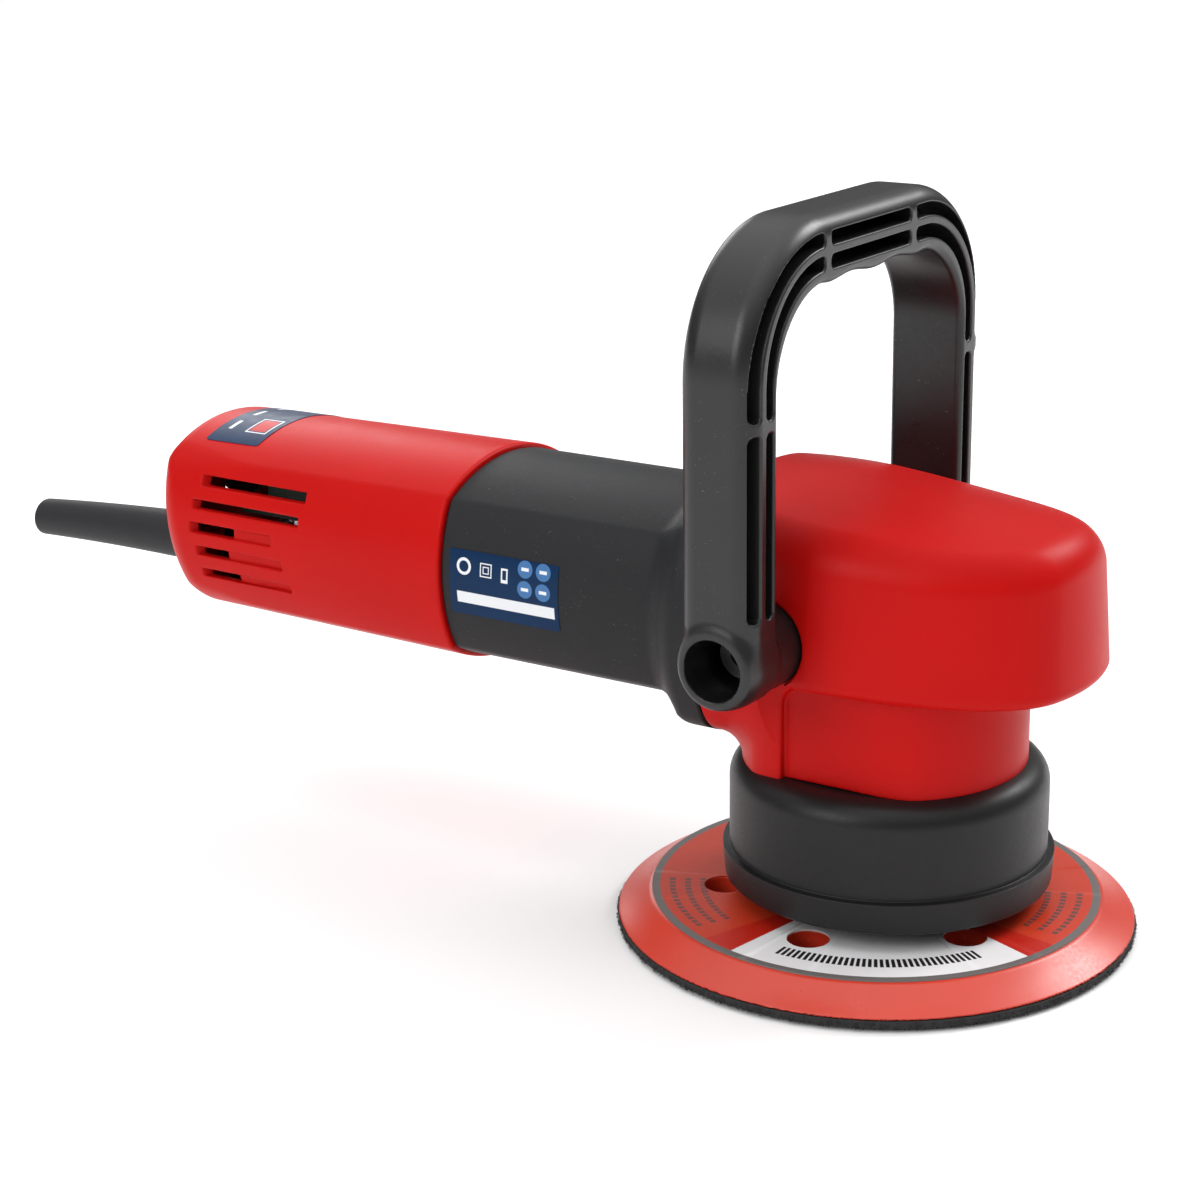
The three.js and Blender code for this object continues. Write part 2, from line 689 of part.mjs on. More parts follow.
// A slotted disc with a bore for the armature shaft.
function slottedCore(shape, low, high) {
  return alongX(cut(prism(shape, low, high, 1), rod(SHAFT_R + GAP, low - 1, high + 1, 16)));
}

function armatureShaft() {
  const profile = [
    [0, REAR_BEARING.low],
    [3.5, REAR_BEARING.low],
    [3.5, REAR_BEARING.high + 0.5],
    [SHAFT_R, REAR_BEARING.high + 0.5],
    [SHAFT_R, -37.2],
    [3, -37.2],
    [3, -21.6],
    [0, -21.6],
  ];
  return alongX(turned(profile, 16));
}

function armatureCore() {
  return slottedCore(slottedShape(ARMATURE_R, 11, 12, rad(4)), STACK_REAR_X, STACK_FRONT_X);
}

function armatureWinding(low, high) {
  const edge = 2;
  const outer = 15.6;
  const inner = SHAFT_R + GAP;
  return alongX(turned([
    [inner, low],
    [outer - edge, low],
    [outer, low + edge],
    [outer, high - edge],
    [outer - edge, high],
    [inner, high],
  ], 16));
}

function commutator() {
  return slottedCore(slottedShape(10.5, 9.7, 12, rad(2.5)), -146, -131);
}

const FAN_BLADES = 8;

function coolingFan() {
  const low = -65.5;
  const disc = ring(SHAFT_R + GAP, 26, low, low + 1.8, 24);
  const hub = ring(SHAFT_R + GAP, 9, low, -55, 16);
  const blades = [];
  for (let i = 0; i < FAN_BLADES; i += 1) {
    const blade = block([8, -0.8, low + 1], [25.6, 0.8, -56]);
    blades.push(blade.rotateZ((2 * HALF_TURN * i) / FAN_BLADES));
  }
  return alongX(join(disc, hub, ...blades));
}

const BRUSH_X = -138.5;

function brushHolder() {
  const half = 5.2;
  const low = [BRUSH_X - half, 13, MOTOR_Z - half];
  const high = [BRUSH_X + half, 29.5, MOTOR_Z + half];
  const room = block([BRUSH_X - 3.4, 10, MOTOR_Z - 3.4], [BRUSH_X + 3.4, 27.5, MOTOR_Z + 3.4]);
  return cut(block(low, high), room);
}

function carbonBrush() {
  return block([BRUSH_X - 3.1, 10.9, MOTOR_Z - 3.1], [BRUSH_X + 3.1, 24, MOTOR_Z + 3.1]);
}

function bearingBracket() {
  const plate = alongX(rod(29, -159, -149.7, 28));
  const pocket = alongX(rod(REAR_BEARING.outer + GAP, REAR_BEARING.low - GAP, -149, 24));
  const pass = alongX(rod(6, -160, -156, 16));
  const windows = [-20, 20].map((up) => block([-160, -8, MOTOR_Z + up - 6], [-148, 8, MOTOR_Z + up + 6]));
  return cut(plate, pocket, pass, ...windows);
}

// ---- gears ----

// Half the angle that a tooth takes at a radius, for an involute flank.
function toothHalfAngle(radius, pitchR, pitchHalf) {
  const involute = (r) => {
    const angle = Math.acos(Math.min(1, (pitchR * Math.cos(PRESSURE_ANGLE)) / r));
    return Math.tan(angle) - angle;
  };
  return pitchHalf + involute(pitchR) - involute(radius);
}

function pinionGear() {
  const tooth = (HALF_TURN * PINION_R) / PINION_TEETH;
  const pitchHalf = (tooth - BACKLASH / 2) / (2 * PINION_R);
  const radii = [PINION_R - 1.15, PINION_R, PINION_R + 1];
  const outline = [];
  for (let i = 0; i < PINION_TEETH; i += 1) {
    const middle = (2 * HALF_TURN * i) / PINION_TEETH;
    const half = radii.map((radius) => toothHalfAngle(radius, PINION_R, pitchHalf));
    const flank = radii.map((radius, k) => [radius, middle - half[k]]);
    const back = radii.map((radius, k) => [radius, middle + half[k]]).reverse();
    for (const [radius, angle] of [...flank, ...back]) {
      outline.push(new THREE.Vector2(radius * Math.cos(angle), radius * Math.sin(angle)));
    }
  }
  const place = (point, [x, scale]) => point.set(x, point.y * scale, MOTOR_Z + point.x * scale);
  const stations = [[-RING_R, 1], [-RING_R * GEAR_TAPER, GEAR_TAPER]];
  const teeth = lofted(new THREE.Shape(outline), stations, place);
  const hub = alongX(turned([[3.3, -36.6], [6.5, -36.6], [6.5, -21.4], [4.2, -20.4], [3.3, -20.4]], 16));
  const core = alongX(rod(3.6, -RING_R - 1, -RING_R + 1, 16));
  const room = alongX(rod(3.3, -37, -21.3, 16));
  return cut(join(teeth, hub, core), room);
}

// Teeth converge on the apex, where the two shaft axes cross.
function ringGear() {
  const tooth = (HALF_TURN * RING_R) / RING_TEETH;
  const half = (tooth - BACKLASH / 2) / 2;
  const slope = Math.tan(PRESSURE_ANGLE);
  const tip = 0.75;
  const root = -1.25;
  const foot = -2.2;
  const outline = [
    [-half - slope * -foot, foot],
    [half + slope * -foot, foot],
    [half - slope * tip, tip],
    [-half + slope * tip, tip],
  ];
  const shape = new THREE.Shape(outline.map(([x, y]) => new THREE.Vector2(x, y)));
  const place = (point, [scale]) => {
    point.set(RING_R * scale, point.x * scale, MOTOR_Z - (PINION_R - point.y) * scale);
  };
  const teeth = [];
  for (let i = 0; i < RING_TEETH; i += 1) {
    const angle = (2 * HALF_TURN * (i + 0.5)) / RING_TEETH;
    teeth.push(lofted(shape, [[1], [GEAR_TAPER]], place).rotateZ(angle));
  }
  const rootZ = (radius) => MOTOR_Z - ((PINION_R - root) * radius) / RING_R;
  const innerR = RING_R * GEAR_TAPER - 0.5;
  const body = turned([
    [7.3, 79],
    [RING_R + 0.1, 79],
    [RING_R + 0.1, rootZ(RING_R)],
    [innerR, rootZ(innerR)],
    [innerR, 86],
    [7.3, 86],
  ], RING_TEETH);
  return join(body, ...teeth);
}

// ---- spindle and eccentric ----

const CARRIER_TOP_Z = 54.5;

function driveSpindle() {
  return turned([
    [0, 48.4], [6, 48.4], [6, 57], [7, 57], [7, 96], [4, 97], [4, 107.4], [0, 107.4],
  ], 20);
}

const WEIGHT_SCREW_X = 26;
const WEIGHT_SCREW_Y = 7;

function weightScrewHole(side, low, high) {
  return rod(SCREW_R + GAP, low, high, 10, WEIGHT_SCREW_X, side * WEIGHT_SCREW_Y);
}

function eccentricCarrier() {
  const cup = rod(17.5, 20.8, 47, 26, -PAD_OFFSET, 0);
  const boss = rod(9.5, 46, CARRIER_TOP_Z, 18);
  const ear = block([0, -12, 42.5], [33, 12, 47]);
  const room = rod(PAD_BEARING.outer + GAP, 20, 43.5, 24, -PAD_OFFSET, 0);
  const socket = rod(6 + GAP, 48, 56, 18);
  const holes = [-1, 1].map((side) => weightScrewHole(side, 40, 48));
  return cut(join(cup, boss, ear), room, socket, ...holes);
}

function counterweight() {
  const shape = new THREE.Shape();
  shape.absarc(0, 0, 38, -rad(74), rad(74), false);
  shape.absarc(0, 0, 19.5, rad(74), -rad(74), true);
  const holes = [-1, 1].map((side) => weightScrewHole(side, 32, 43));
  return cut(prism(shape, 26, 42.5 - GAP, 8), ...holes);
}

function padSpindle() {
  const x = -PAD_OFFSET;
  const stem = turned([[0, 20], [8, 20], [8, 21.2], [5.9, 21.2], [5.9, 43], [0, 43]], 24, x);
  const collar = rod(9.6, 14.4, 20.6, 6, x, 0);
  const thread = rod(4.4, 13, 27, 16, x, 0);
  return cut(join(stem, collar), thread);
}

// ---- pad ----

function padHoles(low, high) {
  const holes = [];
  for (let i = 0; i < PAD_HOLES; i += 1) {
    const angle = rad(-87 + (360 * i) / PAD_HOLES);
    const x = PAD_HOLE_CIRCLE_R * Math.cos(angle) - PAD_OFFSET;
    const y = PAD_HOLE_CIRCLE_R * Math.sin(angle);
    holes.push(rod(PAD_HOLE_R, low, high, 12, x, y));
  }
  return holes;
}

function hookFace() {
  return cut(ringAt(0, PAD_R - 0.3, 0, HOOK_T), ...padHoles(-1, HOOK_T + 1));
}

function ringAt(inner, outer, low, high, segments = 48) {
  if (inner === 0) return rod(outer, low, high, segments, -PAD_OFFSET, 0);
  return ring(inner, outer, low, high, segments).translate(-PAD_OFFSET, 0, 0);
}

function backingPad() {
  const low = HOOK_T + GAP;
  const profile = [
    [4.4, low],
    [PAD_R - 0.4, low],
    [PAD_R, PAD_RIM_Z],
    [PAD_TOP_R, PAD_TOP_Z],
    [4.4, PAD_TOP_Z],
  ];
  return cut(turned(profile, 48, -PAD_OFFSET), ...padHoles(0, PAD_TOP_Z + 1));
}

function padLabel() {
  const low = PAD_TOP_Z + GAP;
  return cut(ringAt(13.5, LABEL_DISC_R, low, low + 0.5), ...padHoles(low - 1, low + 2));
}

function padHub() {
  return ring(4.4, 13, PAD_TOP_Z + GAP, 13.8, 24).translate(-PAD_OFFSET, 0, 0);
}

function padStud() {
  return rod(4, HOOK_T + 0.6, 25, 16, -PAD_OFFSET, 0);
}

// ---- controls and cord entry ----

function switchSlider() {
  const button = block([-174, 31, MOTOR_Z - 6], [-158, 39.4, MOTOR_Z + 6]);
  const skirt = block([-182, 29.6, MOTOR_Z - 8.5], [-150, 31.6, MOTOR_Z + 8.5]);
  const ridges = [];
  for (let i = 0; i < 5; i += 1) {
    const x = -172 + i * 3;
    ridges.push(block([x - 0.6, 39, MOTOR_Z - 5], [x + 0.6, 40.2, MOTOR_Z + 5]));
  }
  return join(button, skirt, ...ridges);
}

function switchModule() {
  const body = block([-190, 6, MOTOR_Z - 10], [-162, 26, MOTOR_Z + 10]);
  return join(body, block([-180, 25, MOTOR_Z - 4], [-168, 29, MOTOR_Z + 4]));
}

function speedController() {
  const board = block([-226, -17, 95], [-192, 17, 96.6]);
  const heatsink = block([-217, -14, 96], [-194, 4, 112]);
  const bracket = block([-227, 6, 90], [-221, 12, 104]);
  return join(board, heatsink, bracket);
}

function speedDial() {
  const shape = slottedShape(DIAL_R, DIAL_R - 0.8, 16, rad(5));
  const wheel = prism(shape, -3.4, 3.4, 1);
  return alongY(wheel, DIAL_X, DIAL_Z);
}

const CLAMP_X = REAR_X + 17;
const CLAMP_SCREW_Y = 10;

function cordClamp() {
  const saddle = block([CLAMP_X - 5, -14, 70], [CLAMP_X + 5, 14, 82]);
  const groove = alongX(rod(4.4, CLAMP_X - 12, CLAMP_X + 8, 16), BOOT_Z);
  const screwHoles = [-1, 1].map((side) => {
    return rod(SCREW_R + GAP, 68, 84, 10, CLAMP_X, side * CLAMP_SCREW_Y);
  });
  return cut(saddle, groove, ...screwHoles);
}

// The cord sleeve: a tapered rubber tube, open at both ends, that droops a little.
const BOOT_LENGTH = 86; // beyond the rear face
const BOOT_DROOP = 3.6;
const BOOT_BORE_R = 4.3;

function strainRelief() {
  const tip = REAR_X - BOOT_LENGTH;
  const clip = REAR_X + 7.5; // its collar sits behind the rear wall
  const start = REAR_X - 2; // it bends from here
  const profile = [
    [BOOT_BORE_R, clip],
    [10.2, clip],
    [10.2, clip - 3.1],
    [8, clip - 3.1],
    [8, start],
    [8, REAR_X - 24],
    [7.1, REAR_X - 52],
    [6.3, tip + 8],
    [5.9, tip + 2.5],
    [4.9, tip],
    [BOOT_BORE_R, tip],
    [BOOT_BORE_R, REAR_X - 50],
    [BOOT_BORE_R, start],
  ];
  const sleeve = alongX(turned(profile, 16), BOOT_Z);
  const at = sleeve.attributes.position;
  for (let i = 0; i < at.count; i += 1) {
    const out = Math.max(0, start - at.getX(i)) / (start - tip);
    at.setZ(i, at.getZ(i) - BOOT_DROOP * out ** 2);
  }
  return sleeve;
}

// ---- assembly ----

const group = new THREE.Group();

function add(name, geometry, finish) {
  const shape = closed(geometry);
  shape.computeVertexNormals();
  const mesh = new THREE.Mesh(shape, new THREE.MeshStandardMaterial(finish));
  mesh.name = name;
  group.add(mesh);
}

const turnedAlongX = (spec) => alongX(bearing(spec));

add("head_cover", headCover(), RED);
add("motor_housing", motorHousing(), BLACK);
add("rear_housing", rearHousing(), RED);
add("shroud", shroud(), BLACK);
add("spec_label", specLabel(), LABEL_BLUE);
add("top_label", topLabel(), LABEL_BLUE);
add("handle", handle(), BLACK);
add("handle_bolt_left", handleBolt(), DARK_STEEL);
add("handle_bolt_right", mirroredY(handleBolt()), DARK_STEEL);

add("gear_case", gearCase(), ALUMINIUM);
add("gear_case_cap", gearCaseCap(), ALUMINIUM);
CAP_SCREWS.forEach(([x, y], i) => add(`cap_screw_${i + 1}`, panScrew(x, y, 89, 107 + GAP), STEEL));
add("spindle_bearing_lower", bearing(LOWER_BEARING, 24), STEEL);
add("spindle_bearing_upper", bearing(UPPER_BEARING), STEEL);
add("bearing_retainer", ring(10, LOWER_BEARING.outer - 0.1, 56, LOWER_BEARING.low - GAP), DARK_STEEL);
add("armature_bearing_front", turnedAlongX(FRONT_BEARING), STEEL);
add("armature_bearing_rear", turnedAlongX(REAR_BEARING), STEEL);
add("rear_bearing_bracket", bearingBracket(), CARBON);

add("stator_core", statorCore(), DARK_STEEL);
add("field_coil_left", fieldCoil(1), COPPER);
add("field_coil_right", fieldCoil(-1), COPPER);
add("brush_holder_left", brushHolder(), BRASS);
add("brush_holder_right", mirroredY(brushHolder()), BRASS);
add("carbon_brush_left", carbonBrush(), CARBON);
add("carbon_brush_right", mirroredY(carbonBrush()), CARBON);
add("switch_module", switchModule(), CARBON);
add("speed_controller", speedController(), BOARD_GREEN);
add("cord_clamp", cordClamp(), BLACK);
for (const [name, side] of [["left", 1], ["right", -1]]) {
  const clampScrew = panScrew(CLAMP_X, side * CLAMP_SCREW_Y, 70.5, 82 + GAP);
  add(`clamp_screw_${name}`, clampScrew, STEEL);
  const rearScrew = alongX(panScrew(0, 0, -REAR_X - 12, GAP - REAR_X), REAR_SCREW_Z).scale(-1, 1, 1);
  add(`rear_screw_${name}`, rearScrew.translate(0, side * REAR_SCREW_Y, 0), STEEL);
}
add("strain_relief", strainRelief(), RUBBER);

add("armature_shaft", armatureShaft(), STEEL);
add("armature_core", armatureCore(), DARK_STEEL);
add("armature_winding_front", armatureWinding(STACK_FRONT_X + GAP, -67.5), COPPER);
add("armature_winding_rear", armatureWinding(-124.5, STACK_REAR_X - GAP), COPPER);
add("commutator", commutator(), COPPER);
add("cooling_fan", coolingFan(), BLACK);
add("pinion_gear", pinionGear(), STEEL);

add("drive_spindle", driveSpindle(), STEEL);
add("ring_gear", ringGear(), STEEL);
add("eccentric_carrier", eccentricCarrier(), DARK_STEEL);
add("counterweight", counterweight(), DARK_STEEL);
for (const [name, side] of [["left", 1], ["right", -1]]) {
  add(`weight_screw_${name}`, panScrew(WEIGHT_SCREW_X, side * WEIGHT_SCREW_Y, 33, 47 + GAP), STEEL);
}
add("pad_bearing_lower", padBearing(21.5), STEEL);
add("pad_bearing_upper", padBearing(34), STEEL);

add("pad_spindle", padSpindle(), STEEL);
add("pad_stud", padStud(), STEEL);
add("pad_hub", padHub(), STEEL);
add("pad_label", padLabel(), LABEL_RED);
add("backing_pad", backingPad(), FOAM_RED);
add("hook_face", hookFace(), HOOK);

add("switch_slider", switchSlider(), BLACK);
add("speed_dial", speedDial(), BLACK);

export default group;
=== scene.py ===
"""Looks of the dual action polisher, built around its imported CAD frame.

The housings, the handle and the pad are signed distance fields in millimetres: each is meshed on a
grid, thinned out and drawn onto its exact surface. Turned parts are lathe profiles. X runs from the
motor to the head, Y to the left and Z up, with the origin on the pad's working face.
"""

import math

import bpy
import numpy as np
from mathutils import Matrix, Vector


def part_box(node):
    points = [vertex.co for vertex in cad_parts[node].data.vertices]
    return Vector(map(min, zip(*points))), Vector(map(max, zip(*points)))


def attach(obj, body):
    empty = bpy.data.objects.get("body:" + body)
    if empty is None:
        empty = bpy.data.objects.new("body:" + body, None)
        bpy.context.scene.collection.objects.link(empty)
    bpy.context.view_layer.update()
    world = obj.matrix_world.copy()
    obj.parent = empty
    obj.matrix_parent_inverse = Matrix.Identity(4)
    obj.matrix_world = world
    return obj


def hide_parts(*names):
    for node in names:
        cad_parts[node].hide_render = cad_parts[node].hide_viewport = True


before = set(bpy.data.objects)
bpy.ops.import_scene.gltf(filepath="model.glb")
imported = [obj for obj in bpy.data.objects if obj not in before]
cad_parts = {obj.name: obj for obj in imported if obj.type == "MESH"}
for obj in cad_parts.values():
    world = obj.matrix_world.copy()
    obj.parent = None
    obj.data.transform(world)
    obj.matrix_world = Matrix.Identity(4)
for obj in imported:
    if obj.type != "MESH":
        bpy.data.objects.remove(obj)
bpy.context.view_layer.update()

MM = 0.001
rng = np.random.default_rng(7)


def node_box(node):
    """Lowest and highest corner of a CAD node, in millimetres."""
    low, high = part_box(node)
    return np.array(low) / MM, np.array(high) / MM


def node_centre(node):
    low, high = node_box(node)
    return (low + high) / 2


# ---- driving sizes, from the frame where it has them ----

MOTOR_Z = node_centre("armature_shaft")[2]
FLANGE_X = node_box("head_cover")[0][0]
SEAM_X = node_box("rear_housing")[1][0]
REAR_X = node_box("rear_housing")[0][0]
PAD_X = node_centre("backing_pad")[0]
PAD_R = (node_box("backing_pad")[1][0] - node_box("backing_pad")[0][0]) / 2
PAD_BOTTOM_Z, PAD_TOP_Z = node_box("backing_pad")[0][2], node_box("backing_pad")[1][2]
HOOK_TOP_Z = node_box("hook_face")[1][2]
SHROUD_BOTTOM_Z, SHROUD_TOP_Z = node_box("shroud")[0][2], node_box("shroud")[1][2]
HANDLE_TOP_Z = node_box("handle")[1][2]
HANDLE_OUT_Y = node_box("handle")[1][1]
BOOT_TIP_X = node_box("strain_relief")[0][0]
DIAL_X, _, DIAL_Z = node_centre("speed_dial")

GAP = 0.3  # clearance between pieces that touch
WALL = 3.0
BARREL_Z = 91.9  # middle of the barrel's section, just under the armature axis
SIDE_R = 48.0  # the barrel's sides are arcs of this radius
SIDE_CENTRE = 11.45  # how far past the middle the side arcs' centres lie
TOP_R = 58.0  # radius of its top and bottom arcs
TOP_CENTRE = 25.8
CREASE = 0.5  # rounding of the creases between the arcs
MOTOR_GROW = -1.0  # the black housing stands a little inside the red one
REAR_GROW = 0.4  # how far the red housing stands out at the seam
REAR_TAPER = 0.013
SHROUD_R = 45.6
SHROUD_SHOULDER_R = 12.0
HANDLE_X = -17.9
HANDLE_HALF_DEPTH = 11.6
FOOT_SEAT_Y = 40.0
FOOT_R = 12.2


# ---- distance fields: arrays of millimetres, negative inside ----


def rounded_join(a, b, r):
    return np.maximum(r, np.minimum(a, b)) - np.hypot(np.maximum(r - a, 0), np.maximum(r - b, 0))


def rounded_cut(a, b, r):
    """What is inside both, with the edge between them rounded by r."""
    return np.minimum(-r, np.maximum(a, b)) + np.hypot(np.maximum(r + a, 0), np.maximum(r + b, 0))


def carve(a, hole, r):
    return rounded_cut(a, -hole, r)


def rectangle(u, v, half_u, half_v, r=0.0):
    du = np.abs(u) - half_u + r
    dv = np.abs(v) - half_v + r
    return np.hypot(np.maximum(du, 0), np.maximum(dv, 0)) + np.minimum(np.maximum(du, dv), 0) - r


def arch(y, z, half_y, top_z, r):
    """An upside-down U that goes down without end: distance to its outline in the YZ plane."""
    return rectangle_quadrant(np.abs(y) - half_y + r, z - top_z + r) - r


def rectangle_quadrant(u, v):
    return np.hypot(np.maximum(u, 0), np.maximum(v, 0)) + np.minimum(np.maximum(u, v), 0)


def smooth_step(value, low, high):
    t = np.clip((value - low) / (high - low), 0, 1)
    return t * t * (3 - 2 * t)


# ---- meshing ----

EDGES = [(a, b) for a in range(8) for b in range(8) if b > a and bin(a ^ b).count("1") == 1]
CORNERS = np.array([[c & 1, c >> 1 & 1, c >> 2 & 1] for c in range(8)])


def surface_net(field, low, high, step):
    """Points and quads of the field's zero surface, with one point in each grid cell that it crosses."""
    axes = [np.arange(a - 2 * step, b + 3 * step, step) for a, b in zip(low, high)]
    grid = np.meshgrid(*axes, indexing="ij", sparse=True)
    value = np.broadcast_to(field(*grid), [len(a) for a in axes]).astype(np.float32)
    inside = value < 0
    count = np.zeros([n - 1 for n in value.shape], np.int8)
    for i, j, k in CORNERS:
        count += inside[i : i + count.shape[0], j : j + count.shape[1], k : k + count.shape[2]]
    cells = np.argwhere((count > 0) & (count < 8))
    number = np.full(count.shape, -1, np.int32)
    number[tuple(cells.T)] = np.arange(len(cells))
    corner = value[tuple((cells[:, None] + CORNERS).transpose(2, 0, 1))]
    total = np.zeros((len(cells), 3))
    crossings = np.zeros(len(cells))
    for a, b in EDGES:
        crossed = (corner[:, a] < 0) != (corner[:, b] < 0)
        share = np.where(crossed, corner[:, a] / np.where(crossed, corner[:, a] - corner[:, b], 1), 0)
        total += crossed[:, None] * (CORNERS[a] + share[:, None] * (CORNERS[b] - CORNERS[a]))
        crossings += crossed
    points = np.array([a[0] for a in axes]) + step * (cells + total / crossings[:, None])
    quads = []
    for axis in range(3):
        ahead = np.eye(3, dtype=int)[axis]
        side, up = np.eye(3, dtype=int)[(axis + 1) % 3], np.eye(3, dtype=int)[(axis + 2) % 3]
        first = inside[tuple(slice(0, n - e) for n, e in zip(inside.shape, ahead))]
        second = inside[tuple(slice(e, None) for e in ahead)]
        at = np.argwhere(first != second)
        ring = [number[tuple((at - move).T)] for move in (side + up, up, 0 * up, side)]
        flip = second[tuple(at.T)]
        quad = np.stack(ring, 1)
        quads.append(np.where(flip[:, None], quad[:, ::-1], quad))
    return points, np.concatenate(quads)


def gradient(field, points, reach=0.04):
    slopes = []
    for axis in np.eye(3) * reach:
        ahead, behind = (points + axis).T, (points - axis).T
        slopes.append((field(*ahead) - field(*behind)) / (2 * reach))
    return np.stack(slopes, 1)


def settle(field, points, steps=3, limit=0.35):
    """Moves points onto the zero surface."""
    for _ in range(steps):
        slope = gradient(field, points)
        length = np.maximum(np.linalg.norm(slope, axis=1), 0.2)
        move = np.clip(field(*points.T) / length, -limit, limit)
        points = points - slope / length[:, None] * move[:, None]
    return points


def mesh_of(name, points, faces):
    """A mesh from points in millimetres and rows of vertex numbers, all of one length."""
    mesh = bpy.data.meshes.new(name)
    mesh.vertices.add(len(points))
    mesh.vertices.foreach_set("co", (np.asarray(points) * MM).astype(np.float32).ravel())
    mesh.loops.add(faces.size)
    mesh.loops.foreach_set("vertex_index", faces.astype(np.int32).ravel())
    mesh.polygons.add(len(faces))
    mesh.polygons.foreach_set("loop_start", np.arange(0, faces.size, faces.shape[1], dtype=np.int32))
    mesh.update(calc_edges=True)
    mesh.validate()
    mesh.polygons.foreach_set("use_smooth", np.ones(len(mesh.polygons), bool))
    return mesh


def points_of(mesh):
    flat = np.zeros(len(mesh.vertices) * 3, np.float32)
    mesh.vertices.foreach_get("co", flat)
    return flat.reshape(-1, 3).astype(float) / MM


def applied(obj):
    """The mesh that an object's modifiers make, put in place of its own."""
    bpy.context.view_layer.update()
    made = bpy.data.meshes.new_from_object(obj.evaluated_get(bpy.context.evaluated_depsgraph_get()))
    obj.modifiers.clear()
    obj.data = made
    return obj


def piece(name, mesh, material, body, slot, *replaced):
    """A finished object that rides on a body and stands for the CAD nodes it replaces."""
    obj = bpy.data.objects.new(name, mesh)
    bpy.context.scene.collection.objects.link(obj)
    mesh.materials.clear()
    mesh.materials.append(material)
    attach(obj, body)
    if replaced:
        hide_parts(*replaced)
    return obj


def field_mesh(name, field, low, high, step, faces):
    """The field's surface with about that many triangles, shaded by the field's own slope."""
    points, quads = surface_net(field, low, high, step)
    points = settle(field, points)
    obj = bpy.data.objects.new(name, mesh_of(name, points, quads))
    bpy.context.scene.collection.objects.link(obj)
    if 2 * len(quads) > faces:
        thin = obj.modifiers.new("thin", "DECIMATE")
        thin.ratio = faces / (2 * len(quads))
        applied(obj)
    mesh = obj.data
    bpy.data.objects.remove(obj)
    points = settle(field, points_of(mesh), steps=2)
    mesh.vertices.foreach_set("co", (points * MM).astype(np.float32).ravel())
    normals = gradient(field, points)
    normals /= np.maximum(np.linalg.norm(normals, axis=1), 1e-6)[:, None]
    mesh.normals_split_custom_set_from_vertices(normals)
    mesh.update()
    return mesh


# ---- lathe work ----


def filleted(corners, steps=5):
    """A closed outline with rounded corners: (points, normals) from rows of [radius, height, fillet]."""
    points, normals = [], []
    count = len(corners)
    for i in range(count):
        here = np.array(corners[i][:2], float)
        before = np.array(corners[i - 1][:2], float) - here
        after = np.array(corners[(i + 1) % count][:2], float) - here
        reach = [np.linalg.norm(before), np.linalg.norm(after)]
        before, after = before / reach[0], after / reach[1]
        half = math.acos(np.clip(before @ after, -1, 1)) / 2
        if half > 1.56:
            points.append(here)
            normals.append(np.array([after[1], -after[0]]))
            continue
        fillet = min(corners[i][2], 0.49 * min(reach) * math.tan(half))
        normal_in = np.array([-before[1], before[0]])
        normal_out = np.array([after[1], -after[0]])
        bisector = (before + after) / np.linalg.norm(before + after)
        centre = here + bisector * fillet / math.sin(half)
        cross = normal_in[0] * normal_out[1] - normal_in[1] * normal_out[0]
        turn = math.atan2(cross, normal_in @ normal_out)
        for k in range(steps + 1):
            angle = turn * k / steps
            c, s = math.cos(angle), math.sin(angle)
            normal = np.array([c * normal_in[0] - s * normal_in[1], s * normal_in[0] + c * normal_in[1]])
            outward = 1 if turn > 0 else -1
            points.append(centre + outward * fillet * normal)
            normals.append(normal)
    return np.array(points), np.array(normals)


def refined(corners, spacing):
    """The same outline with extra corners along its long straight stretches, so that it can be bent."""
    rows = []
    for i, row in enumerate(corners):
        rows.append(row)
        here = np.array(row[:2], float)
        ahead = np.array(corners[(i + 1) % len(corners)][:2], float)
        pieces = int(abs(ahead[1] - here[1]) // spacing)
        for k in range(1, pieces):
            rows.append((*(here + (ahead - here) * k / pieces), 0.0))
    return rows


def lathe_mesh(name, corners, segments=160, steps=5, place=None):
    """Revolves a counterclockwise outline of [radius, height, fillet] about Z; place moves the points."""
    profile, across = filleted(corners, steps)
    angles = np.arange(segments) * 2 * math.pi / segments
    turn = np.stack([np.cos(angles), np.sin(angles)], 1)

    def swept(rows):
        around = rows[None, :, :1] * turn[:, None, :]
        height = np.broadcast_to(rows[None, :, 1:], (segments, len(rows), 1))
        return np.concatenate([around, height], 2).reshape(-1, 3)

    points, normals = swept(profile), swept(across)
    n = len(profile)
    i, j = np.meshgrid(np.arange(segments), np.arange(n), indexing="ij")
    ahead, up = (i + 1) % segments, (j + 1) % n
    quads = np.stack([i * n + j, ahead * n + j, ahead * n + up, i * n + up], -1).reshape(-1, 4)
    if place is not None:
        points, normals = place(points, normals)
    mesh = mesh_of(name, points, quads)
    mesh.normals_split_custom_set_from_vertices(normals)
    return mesh


# ---- materials ----


